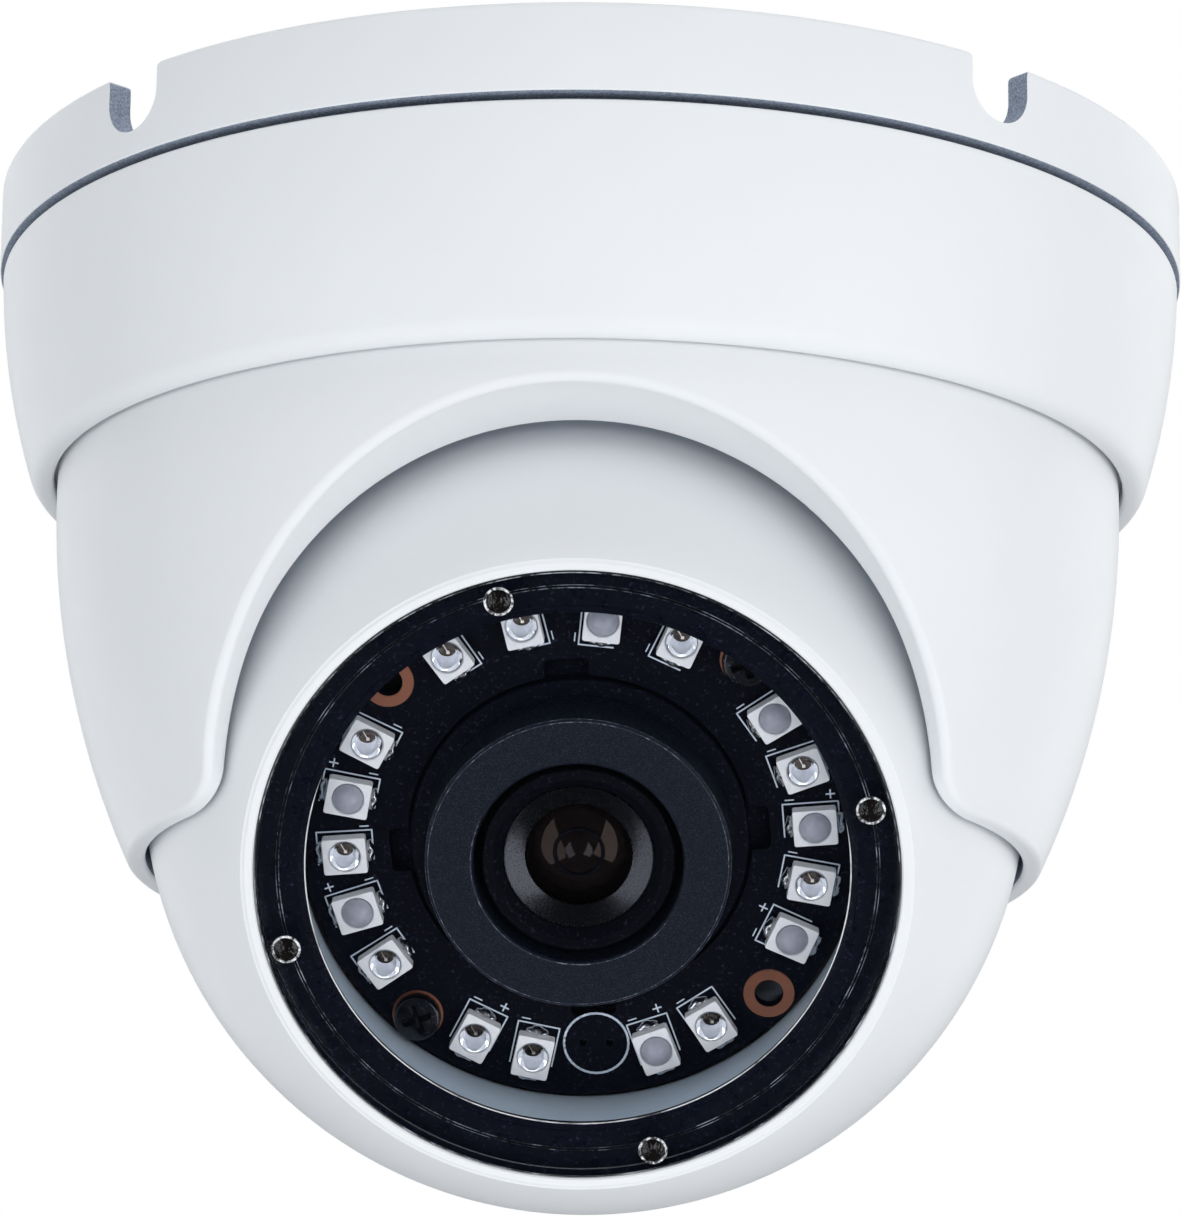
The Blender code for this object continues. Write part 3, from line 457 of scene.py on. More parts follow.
def painted_edge_highlight(name, bright, run, start=0.50):
    """Painted highlight along a thin edge: bright for a few millimetres, then dark."""
    look = Look(name, bright, 0.25)
    dark = tuple(c * 0.04 for c in bright)
    look.vary("Base Color", run, dark, bright, start, start + 0.15, 4.0, 0.65)
    look.vary("Roughness", 0.5, 0.2, 0.4)
    look.bump(look.noise(0.3), 0.01)
    return look.material


def rubber(name, colour, grain, relief):
    look = Look(name, colour, 0.75, specular=0.3)
    lighter = tuple(c * 2.2 for c in colour)
    look.vary("Base Color", grain, colour, lighter, 0.42, 0.72, 4.0)
    look.vary("Roughness", grain * 4, 0.65, 0.85)
    look.bump(look.noise(grain, 4.0, 0.7), relief)
    return look.material


def grained(name, dark, light, grain):
    """Moulded rubber with a fine leathery grain that catches the light in specks."""
    look = Look(name, dark, 0.5, specular=0.3)
    look.vary("Base Color", grain, dark, light, 0.50, 0.74, 2.0, 0.7)
    look.vary("Roughness", grain * 3, 0.42, 0.62)
    look.bump(look.noise(grain * 1.5, roughness=0.7), 0.03)
    return look.material


def metal(name, colour, roughness, grain=0.15, relief=0.0008):
    look = Look(name, colour, roughness, metallic=1.0)
    look.vary("Roughness", grain, roughness - 0.07, roughness + 0.09)
    look.bump(look.noise(grain, 2.0), relief)
    return look.material


def dark_glass(name, reflection, roughness, relief=0.0):
    """A lens over a dark barrel: nearly black, with reflections coloured by its coating."""
    look = Look(name, (0.004, 0.003, 0.004), roughness)
    look.set("Specular Tint", (*reflection, 1.0))
    look.vary("Base Color", 0.8, (0.003, 0.0022, 0.0025), (0.0065, 0.0045, 0.0040))
    look.vary("Roughness", 0.4, roughness * 0.8, roughness * 1.3)
    if relief:
        look.bump(look.noise(0.5, 2.0), relief)
    return look.material


def plastic(name, colour, roughness, grain=0.3):
    look = Look(name, colour, roughness, specular=0.4)
    lighter = tuple(min(1.0, c * 1.12) for c in colour)
    look.vary("Base Color", grain * 6, colour, lighter)
    look.vary("Roughness", grain * 3, roughness - 0.05, roughness + 0.06)
    look.bump(look.noise(grain), 0.0015)
    return look.material


def dusty_black(name, colour, roughness, specular):
    """Near-black with the fine pale specks of dust and board fibre that a close-up shows."""
    look = Look(name, colour, roughness, specular=specular)
    speck = tuple(c * 5 + 0.012 for c in colour)
    look.vary("Base Color", 0.28, colour, speck, 0.60, 0.78, 2.0, 0.5)
    look.vary("Roughness", 1.2, roughness - 0.08, roughness + 0.1)
    look.bump(look.noise(0.25), 0.002)
    return look.material


def see_through(name, tint, ior, roughness, coat=(1.0, 1.0, 1.0)):
    """Clear plastic or glass: light goes straight through, and the surface reflects by its angle."""
    look = Look(name, tint, roughness)
    nodes, links = look.tree.nodes, look.tree.links
    through = nodes.new("ShaderNodeBsdfTransparent")
    through.inputs["Color"].default_value = (*tint, 1.0)
    gloss = nodes.new("ShaderNodeBsdfGlossy")
    gloss.inputs["Roughness"].default_value = roughness
    gloss.inputs["Color"].default_value = (*coat, 1.0)
    edge = nodes.new("ShaderNodeFresnel")
    edge.inputs["IOR"].default_value = ior
    mix = nodes.new("ShaderNodeMixShader")
    links.new(edge.outputs["Fac"], mix.inputs["Fac"])
    links.new(through.outputs["BSDF"], mix.inputs[1])
    links.new(gloss.outputs["BSDF"], mix.inputs[2])
    links.new(mix.outputs["Shader"], nodes["Material Output"].inputs["Surface"])
    nodes.remove(look.shader)
    return look.material


def resin(name, colour, transmission, roughness):
    """Cast LED resin: clear, or milky where little of it transmits."""
    look = Look(name, colour, roughness)
    look.set("Transmission Weight", transmission)
    look.set("IOR", 1.46)
    pale = tuple(min(1.0, c * 1.15) for c in colour)
    look.vary("Base Color", 0.5, colour, pale)
    look.vary("Roughness", 0.8, roughness * 0.6, roughness * 1.5)
    look.bump(look.noise(0.7, 2.0), 0.006)
    return look.material


WHITE = paint("white_paint")
# slate-grey for the base's groove and notch walls; on the hood's seat it is painted shade
SLATE_AND_SHADE = slate_and_painted_shade("slate_and_painted_shade")
THROAT = paint("throat_paint", 1.0, (0.66, 0.77, 0.86))
BLACK_RUBBER = rubber("black_rubber", (0.012, 0.013, 0.016), 0.3, 0.01)
SHROUD_RUBBER = grained("shroud_rubber", (0.0020, 0.0034, 0.0085), (0.026, 0.037, 0.062), 0.11)
# painted highlight: pale grain for the lines on the shroud's rims
SHROUD_RIM_HIGHLIGHT = grained("shroud_rim_painted_highlight", (0.035, 0.042, 0.060), (0.30, 0.32, 0.37), 0.5)
NYLON = plastic("natural_nylon", (0.62, 0.62, 0.59), 0.45)
WHITE_NYLON = paint("white_nylon", 0.97)
STEEL = metal("zinc_steel", (0.56, 0.57, 0.60), 0.34)
ALUMINIUM = metal("sheet_aluminium", (0.62, 0.63, 0.65), 0.38)
BRASS = metal("turned_brass", (0.72, 0.53, 0.24), 0.28)
SCREW_STEEL = metal("screw_steel", (0.40, 0.41, 0.43), 0.30)
SOLDER = metal("solder", (0.74, 0.74, 0.76), 0.22, 0.35)
COPPER = metal("bare_copper", (0.70, 0.30, 0.19), 0.55, 0.12)
CONE_METAL = metal("satin_cone", (0.055, 0.055, 0.061), 0.24, 0.10, 0.00005)
BLACK_SCREW = dusty_black("black_screw", (0.005, 0.006, 0.009), 0.20, 0.6)
BLACK_BARREL = dusty_black("black_barrel", (0.0020, 0.0026, 0.0048), 0.45, 0.06)
BLACK_BEZEL = dusty_black("black_bezel", (0.0030, 0.0040, 0.0095), 0.32, 0.10)
BLACK_BOARD = dusty_black("black_solder_mask", (0.0030, 0.0038, 0.0085), 0.50, 0.07)
BLACK_PLASTIC = plastic("black_plastic", (0.010, 0.011, 0.014), 0.32)
GREEN_BOARD = plastic("green_solder_mask", (0.020, 0.120, 0.062), 0.36)
SILKSCREEN = plastic("silkscreen", (0.66, 0.72, 0.79), 0.6, grain=0.1)
LED_BODY = plastic("led_package", (0.89, 0.875, 0.865), 0.40, grain=0.2)
LED_CUP = plastic("led_cup", (0.55, 0.56, 0.60), 0.30, grain=0.15)
# painted shade: the dark pad off the middle of a clear LED's cup
LED_SHADE_PAD = metal("led_painted_shade_pad", (0.045, 0.035, 0.030), 0.35, 0.1)
LED_BOND = metal("led_bond", (0.46, 0.43, 0.40), 0.35, 0.1)
LED_CLEAR = resin("led_clear_dome", (0.93, 0.94, 0.97), 1.0, 0.03)
LED_MILKY = resin("led_milky_dome", (0.50, 0.50, 0.56), 0.25, 0.16)
WINDOW = see_through("window_plastic", (0.97, 0.98, 1.0), 1.18, 0.02)
# painted highlights: broken bright lines on the window's edges, the bezel's lip and round the pips
WINDOW_LINE_HIGHLIGHT = painted_edge_highlight("window_edge_painted_highlight", (0.42, 0.45, 0.50), 2.0)
LIP_LINE_HIGHLIGHT = painted_edge_highlight("bezel_lip_painted_highlight", (0.90, 0.88, 0.84), 5.0, 0.36)
PIP_RIM_HIGHLIGHT = painted_edge_highlight("window_pip_painted_highlight", (0.85, 0.87, 0.90), 0.35, 0.44)
PIP = dark_glass("window_pip", (0.92, 0.96, 1.0), 0.07, 0.16)
LENS_GLASS = see_through("coated_lens", (0.45, 0.38, 0.36), 1.42, 0.03, coat=(0.80, 0.55, 0.42))
FRONT_GLASS = dark_glass("front_lens_glass", (0.46, 0.33, 0.27), 0.03)
PUPIL = dark_glass("lens_pupil", (0.50, 0.44, 0.44), 0.06)
SENSOR = plastic("sensor_glass", (0.03, 0.035, 0.07), 0.12)


# Base and cover


def notch_outline():
    """The U-shaped notch seen along the radius, with softly rounded mouth corners; y is up."""
    half = NOTCH_WIDTH / 2
    mouth = NOTCH_MOUTH_R
    left = arc((-half - mouth, -mouth), mouth, 90, 0, 6)
    bottom = arc((0, half - NOTCH_DEPTH), half, 180, 360, 25)
    right = arc((half + mouth, -mouth), mouth, 180, 90, 6)
    return [(-half - mouth, 2.0)] + left + bottom + right + [(half + mouth, 2.0)]


def lugs(inner, outer, low, high):
    """The three lugs of the bayonet, on the base's collar or in the cover."""
    outline = [(-4.0, -outer), (4.0, -outer), (4.0, -inner), (-4.0, -inner)]
    return [prism(f"lug_{turn}", outline, low, high, None, spin(turn + BASE_YAW)) for turn in (0, 120, 240)]


def mounting_base():
    inner = BASE_R - BASE_WALL
    rim = [(BASE_R, 0.0, 0.45), (BASE_R, RIM_BOTTOM, 0.12), (COLLAR_R, RIM_BOTTOM, 0)]
    collar = [(COLLAR_R, COLLAR_BOTTOM, 0.4), (COLLAR_IN_R, COLLAR_BOTTOM, 0.3)]
    collar += [(COLLAR_IN_R, FLOOR_BOTTOM, 0.3)]
    ring = [(CABLE_HOLE_R, FLOOR_BOTTOM, 0.3), (CABLE_HOLE_R, -1.2, 0.3), (CABLE_RING_R, -1.2, 0.4)]
    recess = [(CABLE_RING_R, FLOOR_TOP, 0.5), (inner, FLOOR_TOP, 0.5), (inner, 0.0, 0.35)]
    outline = rounded(rim + collar + ring + recess)
    base = turned("base_casting", outline, WHITE)
    grown = []
    cuts = []
    for index, angle in enumerate((-90.0, 30.0, 150.0)):
        at = polar(BOSS_CIRCLE_R, angle + BASE_YAW)
        boss = [(0, 0.0), (4.5, 0.0), (4.75, -0.25), (4.8, -0.6), (4.8, -5.0)]
        boss += [(5.3, FLOOR_TOP - 0.3), (5.3, FLOOR_TOP - 1.0), (0, FLOOR_TOP - 1.0)]
        grown.append(turned(f"boss_{index}", boss, None, steps=48, at=at))
        hole = [(0, 0.5), (2.6, 0.5), (2.6, -0.02), (2.3, -0.3), (2.3, -9.0), (0, -9.0)]
        cuts.append(turned(f"hole_{index}", hole, None, steps=48, at=at))
    for index, angle in enumerate((-30.0, 90.0, 210.0)):
        rib = [(12.3, -0.8), (44.2, -0.8), (44.2, 0.8), (12.3, 0.8)]
        grown.append(prism(f"rib_{index}", rib, -6.2, -3.0, None, spin(angle + BASE_YAW)))
    combine(base, grown + lugs(43.0, 44.6, -12.2, -10.0), "UNION")
    for index, azimuth in enumerate(NOTCH_AZIMUTHS):
        upright = Matrix.Rotation(math.pi / 2, 4, "X")
        turn = spin(azimuth) @ upright
        cuts.append(prism(f"notch_{index}", notch_outline(), BASE_R - 6.0, BASE_R + 2.0, None, turn))
    combine(base, cuts)
    soften = base.modifiers.new("Paint edges", "BEVEL")
    soften.width = 0.22 * MM
    soften.segments = 2
    soften.limit_method = "ANGLE"
    soften.angle_limit = math.radians(60)
    paint_slate_and_shade(base, slate_faces_on_base)
    stands_for(base, "base", "base_paint", "mounting_base")


def slate_faces_on_base(centre, normal):
    """The rim's underside, the collar just below it and the walls of the notches take the slate-grey
    material.
    """
    radius = math.hypot(centre.x, centre.y)
    if COLLAR_SLATE_Z < centre.z < RIM_BOTTOM + 0.02 and radius > COLLAR_R - 0.6:
        return True
    azimuth = math.degrees(math.atan2(centre.x, -centre.y))
    reach = math.degrees((NOTCH_WIDTH / 2 + 0.25) / BASE_R)
    in_notch = radius > 40.0 and any(abs(azimuth - notch) < reach for notch in NOTCH_AZIMUTHS)
    across = abs(normal.x * centre.x + normal.y * centre.y) / radius
    return in_notch and across < 0.3 and -NOTCH_DEPTH - 0.1 < centre.z < -0.1


def paint_slate_and_shade(piece, test):
    mesh = piece.data
    mesh.materials.append(SLATE_AND_SHADE)
    for face in mesh.polygons:
        if test(face.center / MM, face.normal):
            face.material_index = 1


def base_rubber():
    side = CABLE_HOLE_R - 0.3
    foot = side + 2.0
    flange = [(foot, -7.9, 0.2), (foot, -9.3, 0.5), (5.2, -9.3, 0.5), (4.0, -8.6, 0.3)]
    funnel = [(4.0, -6.4, 0.3), (6.0, -5.2, 0.4), (8.6, -1.0, 0.4), (side, -1.0, 0.3), (side, -7.9, 0)]
    grommet = turned("grommet_ring", rounded(flange + funnel), BLACK_RUBBER, steps=SMALL_STEPS)
    stands_for(grommet, "base", "black_rubber", "cable_grommet")
    ring = arc((44.35, -7.6), 0.42, 0, 345, 20)
    stands_for(turned("cover_o_ring", ring, BLACK_RUBBER), "base", "black_rubber", "cover_seal")
    nylon = rounded([(42.9, -15.3, 0.2), (42.9, -19.7, 0.2), (41.2, -19.7, 0.2), (41.2, -15.3, 0.2)])
    stands_for(turned("pressure_ring_fine", nylon, NYLON), "base", "nylon", "pressure_ring")


def cover():
    """The twist-off cover: an arched side between two soft edges, and a lip that holds the hood's flange."""
    top_r = float(side_r(COVER_ARC, COVER_TOP))
    edge = COVER_EDGE_R
    inner_arc = (COVER_ARC[0], COVER_ARC[1], COVER_ARC[2] - edge)
    edge_z = COVER_BOTTOM + edge
    edge_r = float(side_r(inner_arc, edge_z))
    slope = math.degrees(math.asin((edge_z - COVER_ARC[1]) / inner_arc[2]))
    outline = arc((top_r - 0.2, COVER_TOP - 0.2), 0.2, 90, 0, 5)
    outline += side_points(COVER_ARC, COVER_TOP - 0.3, edge_z + edge * math.sin(math.radians(slope)), 40)[:-1]
    outline += arc((edge_r, edge_z), edge, slope, -90, 14)
    outline += arc((COVER_LIP_R + 0.35, COVER_BOTTOM + 0.35), 0.35, -90, -180, 5)
    outline += [(COVER_LIP_R, COVER_BOTTOM + 1.3), (43.8, COVER_BOTTOM + 1.3), (43.8, COVER_BOTTOM + 3.7)]
    outline += [(COVER_BORE_R, -14.0), (COVER_BORE_R, COVER_TOP - 0.3), (COVER_BORE_R + 0.3, COVER_TOP)]
    ring = turned("cover_shell", outline, WHITE)
    combine(ring, lugs(43.95, 45.5, -9.7, -8.2), "UNION")
    stands_for(ring, "cover", "cover_paint", "cover_ring")


# Hood


def shoulder(circle):
    """The arch's edge on the right, from its peak over the shoulder to the rim, as (x, z) points."""
    radius, centre_z = circle
    corner_z = HOOD_BOTTOM + SHOULDER_R
    corner_x = math.sqrt((radius + SHOULDER_R) ** 2 - (corner_z - centre_z) ** 2)
    foot = math.degrees(math.atan2(corner_z - centre_z, corner_x))
    foot_steps = 16
    over = arc((0.0, centre_z), radius, 90, foot, ARCH_STEPS + 1 - foot_steps)
    round_foot = arc((corner_x, corner_z), SHOULDER_R, 180 + foot, 270, foot_steps)
    return np.array(over + round_foot[1:])


def faces_ball(centre, normal):
    """The hood's seat looks straight at the ball's centre; its slate-grey is painted shade that darkens the
    gap under the arch.
    """
    away = centre - BALL_CENTRE / MM
    return away.length < SEAT_R + ARCH_GAP + 0.1 and normal.dot(away.normalized()) < -0.85


def unit(vectors):
    return vectors / np.linalg.norm(vectors, axis=-1, keepdims=True)


def hood_side(x, z):
    """Points on the hood's outer surface in front, from x and z."""
    radius = side_r(HOOD_ARC, z)
    return np.stack([x, -np.sqrt(radius**2 - x**2), z], -1)


def hood_edges():
    """The outer and inner edge of the arch and rim for the right half, from the peak round to the back."""
    outer = shoulder(ARCH_OUTER)
    inner = shoulder(ARCH_INNER)
    outer_front = hood_side(outer[:, 0], outer[:, 1])
    opening = np.clip((inner[:, 1] - GAP_SPAN[0]) / (GAP_SPAN[1] - GAP_SPAN[0]), 0, 1)
    edge_r = SEAT_R + ARCH_GAP * opening**2 * (3 - 2 * opening)
    inner_y = -np.sqrt(edge_r**2 - inner[:, 0] ** 2 - (inner[:, 1] - BALL_Z) ** 2)
    inner_front = np.stack([inner[:, 0], inner_y, inner[:, 1]], -1)
    start = math.atan2(outer_front[-1, 0], -outer_front[-1, 1])
    start_in = math.atan2(inner_front[-1, 0], -inner_front[-1, 1])
    share = np.linspace(0, 1, RIM_STEPS)[1:]
    rim_r = float(side_r(HOOD_ARC, HOOD_BOTTOM))
    seat_r = math.sqrt(SEAT_R**2 - (HOOD_BOTTOM - BALL_Z) ** 2)
    round_outer = ring_points(rim_r, HOOD_BOTTOM, start + (math.pi - start) * share)
    round_inner = ring_points(seat_r, HOOD_BOTTOM, start_in + (math.pi - start_in) * share)
    return np.concatenate([outer_front, round_outer]), np.concatenate([inner_front, round_inner])


def ring_points(radius, height, azimuth):
    """Points on a circle; azimuth 0 is towards the lens side and grows towards +X."""
    flat = np.broadcast_to(height, np.shape(azimuth))
    return np.stack([radius * np.sin(azimuth), -radius * np.cos(azimuth), flat], -1)


def fillet(corner, along, across, radius, count):
    """Rows of points round an edge, from the surface that leaves it along one direction to the other."""
    opening = np.arccos(np.clip((along * across).sum(-1), -1, 1))[:, None] / 2
    centre = corner + unit(along + across) * radius[:, None] / np.sin(opening)
    start = corner + along * radius[:, None] / np.tan(opening) - centre
    end = corner + across * radius[:, None] / np.tan(opening) - centre
    rows = []
    for share in np.linspace(0, 1, count):
        rows.append(centre + unit(start * (1 - share) + end * share) * radius[:, None])
    return rows


def hood():
    """Columns round the hood: down its side, round the edge, through the wall and up the ball's seat."""
    outer, inner = hood_edges()
    # where each column starts at the top of the side
    turn = np.arctan2(outer[:, 0], -outer[:, 1])
    top_turn = turn.copy()
    top_turn[:ARCH_STEPS] = np.linspace(0, turn[ARCH_STEPS - 1], ARCH_STEPS)
    # the two directions that leave the edge: along the side, and across the wall
    steep = -(outer[:, 2] - HOOD_ARC[1]) / HOOD_ARC[2]
    radial = ring_points(1.0, 0.0, turn)
    side_normal = radial * np.sqrt(1 - steep[:, None] ** 2) - np.array([0, 0, 1.0]) * steep[:, None]
    along = unit(np.cross(unit(np.gradient(outer, axis=0)), side_normal))
    along *= np.where(along[:, 2:3] < 0, -1, 1)
    across = unit(inner - outer)
    depth = np.linalg.norm(inner - outer, axis=-1)
    bend = fillet(outer, along, across, np.minimum(ARCH_ROUNDING, 0.42 * depth), 10)
    first = bend[0]
    first_turn = np.arctan2(first[:, 0], -first[:, 1])
    rows = []
    for share in np.linspace(0, 1, 48):
        height = HOOD_WALL_TOP + (first[:, 2] - HOOD_WALL_TOP) * share
        azimuth = top_turn + (first_turn - top_turn) * share
        rows.append(ring_points(side_r(HOOD_ARC, height), height, azimuth))
    rows += bend[1:]
    centre = np.array([0, 0, BALL_Z])
    seat_z = BALL_Z + SEAT_TOP
    seat_end = ring_points(math.sqrt(SEAT_R**2 - SEAT_TOP**2), seat_z, top_turn)
    up_seat = unit(seat_end - inner)
    away = unit(inner - centre)
    up_seat = unit(up_seat - away * (up_seat * away).sum(-1, keepdims=True))
    lip = fillet(inner, -across, up_seat, np.full(len(inner), SEAT_LIP_ROUNDING), 5)
    for share in np.linspace(0, 1, 14)[1:-1]:
        rows.append(bend[-1] + (lip[0] - bend[-1]) * share)
    rows += lip
    start = lip[-1] - centre
    start_r = np.linalg.norm(start, axis=-1, keepdims=True)
    for share in np.linspace(0, 1, 24)[1:]:
        towards = unit(unit(start) * (1 - share) + unit(seat_end - centre) * share)
        rows.append(centre + towards * (start_r + (SEAT_R - start_r) * share))
    flange = ((HOOD_BORE_R, seat_z), (HOOD_BORE_R, HOOD_TOP), (FLANGE_R, HOOD_TOP), (FLANGE_R, HOOD_WALL_TOP))
    rows += [ring_points(radius, height, top_turn) for radius, height in flange]
    right = np.array(rows)
    left = right[:, -2:0:-1] * np.array([-1, 1, 1])
    shell = surface("hood_shell", np.concatenate([right, left], 1), WHITE, wrap_rows=True, sharp_deg=40.0)
    # painted shade: the slate-grey seat darkens the gap and the shadow under the arch
    paint_slate_and_shade(shell, faces_ball)
    stands_for(shell, "hood", "hood_paint", "hood")


# Ball


def ball():
    inside = BALL_R - BALL_WALL
    face_r = math.sqrt(BALL_R**2 - WINDOW_H**2)
    pocket = WINDOW_R + 0.12
    throat_back = BEZEL_BACK - 0.1
    outline = [(pocket, WINDOW_H - 1.6), (pocket, WINDOW_H - 0.12), (pocket + 0.12, WINDOW_H)]
    outline += arc((face_r - 0.30, WINDOW_H - 0.30), 0.30, 90, 44, 6)
    outline += sphere_points(BALL_R, WINDOW_H - 0.12, 2.85, 90)
    outline += [(BALL_R - 0.35, 2.5), (31.2, 2.5), (31.2, 5.4)]
    outline += sphere_points(inside, 6.6, 17.0, 12)
    outline += [(THROAT_R + 0.15, 17.0), (THROAT_R + 0.15, throat_back), (22.35, throat_back)]
    outline += [(22.35, WINDOW_H - 2.5), (pocket, WINDOW_H - 2.5)]
    on_ball("ball_front_shell", outline, WHITE, "ball_paint", "ball_front")
    outer, top, foot = THROAT_R + THROAT_WALL, 18.85, 14.05
    throat = [(outer, top, 0.05), (THROAT_R, top, 0.05), (THROAT_R, foot, 0.05), (outer, foot, 0.05)]
    on_ball("ball_front_throat", rounded(throat, 3), THROAT, "ball_paint")

    outline = [(30.9, 4.6), (30.9, -3.1), (BALL_R - 0.3, -3.1)]
    outline += sphere_points(BALL_R, -3.45, -math.sqrt(BALL_R**2 - CABLE_BORE_R**2), 90)
    outline += [(CABLE_BORE_R, -math.sqrt(inside**2 - CABLE_BORE_R**2))]
    outline += sphere_points(inside, -math.sqrt(inside**2 - 6.1**2), -7.1, 16)
    outline += [(28.9, -3.1), (28.9, 4.6)]
    on_ball("ball_rear_shell", outline, WHITE, "ball_paint", "ball_rear")

    outline = [(31.3, 2.2), (BALL_R - 0.35, 2.2)]
    outline += sphere_points(BALL_R - 0.05, 1.9, -2.5, 8)
    outline += [(BALL_R - 0.35, -2.8), (31.3, -2.8)]
    ring = turned("slip_ring", outline, WHITE_NYLON, LENS)
    pins = []
    for side in (-1, 1):
        place = Matrix.Translation(BALL_CENTRE) @ Matrix.Rotation(side * math.pi / 2, 4, "Y")
        pin = [(0, 36.4), (0.95, 36.4), (1.2, 36.15), (1.2, 32.0), (0, 32.0)]
        pins.append(turned(f"pin_{side + 1}", pin, None, place, 48))
    combine(ring, pins, "UNION")
    stands_for(ring, "tilt", "nylon", "guide_ring")

    outside = BALL_R + 0.7
    gland = [(5.6, -29.6, 0.3), (5.6, -31.0, 0.1), (4.6, -31.0, 0.1)]
    gland += [(4.6, -outside, 0.6), (2.4, -outside, 0.4), (2.4, -29.6, 0.2)]
    on_ball("gland_bush", rounded(gland), BLACK_RUBBER, "black_rubber", "cable_gland", steps=SMALL_STEPS)


def window():
    front, back = WINDOW_H - 0.05, 22.2
    pane = rounded([(0, front, 0), (WINDOW_R, front, 0.25), (WINDOW_R, back, 0), (0, back, 0)])
    on_ball("window_pane", pane, WINDOW, "window_plastic", "window")
    step = [(WINDOW_R, BEZEL_TOP, 0.05), (WINDOW_R, BEZEL_TOP - 0.6, 0.05), (22.1, BEZEL_TOP - 0.6, 0)]
    step += [(22.1, BEZEL_BACK, 0.05), (21.25, BEZEL_BACK, 0.12), (21.25, BEZEL_TOP - 0.75, 0.1)]
    step += [(BEZEL_LIP_R, BEZEL_TOP - 0.5, 0.05), (BEZEL_LIP_R, BEZEL_TOP - 0.15, 0.05)]
    step += [(20.75, BEZEL_TOP - 0.1, 0.05), (20.8, BEZEL_TOP, 0.04)]
    on_ball("bezel_ring", rounded(step, 4), BLACK_BEZEL, "black_plastic", "window_bezel")
    whole = (0, 360)
    # painted highlights: bright lines on the bezel's lip, over part of its round, and on the window's step
    # and rim
    painted_highlight_line("bezel_lip_highlight_line", BEZEL_LIP_R + 0.02, BEZEL_TOP - 0.12, 0.055, (158, 372), LIP_LINE_HIGHLIGHT, "black_plastic")
    painted_highlight_line("window_step_highlight_inner", 22.15, BEZEL_TOP + 0.03, 0.035, whole, WINDOW_LINE_HIGHLIGHT, "window_plastic")
    painted_highlight_line("window_step_highlight_outer", 22.36, BEZEL_TOP + 0.03, 0.025, whole, WINDOW_LINE_HIGHLIGHT, "window_plastic")
    painted_highlight_line("window_rim_highlight", WINDOW_R - 0.03, WINDOW_H - 0.07, 0.04, whole, WINDOW_LINE_HIGHLIGHT, "window_plastic")
    for index in range(4):
        at = polar(PIP_R, PIP_ROLL + 90 * index)
        rim = f"window_pip_painted_highlight_{index + 1}"
        # painted highlight round each pip
        painted_highlight_line(rim, 1.0, WINDOW_H + 0.03, 0.10, whole, PIP_RIM_HIGHLIGHT, "window_plastic", at, 48)
        drop = [(0, 0.22), (0.3, 0.20), (0.6, 0.13), (0.85, 0.02), (0.95, -0.04), (0, -0.04)]
        raised = [(r, WINDOW_H + h) for r, h in drop]
        on_ball(f"window_pip_{index + 1}", raised, PIP, "window_plastic", steps=48, at=at, sharp_deg=80.0)


# Lens and board


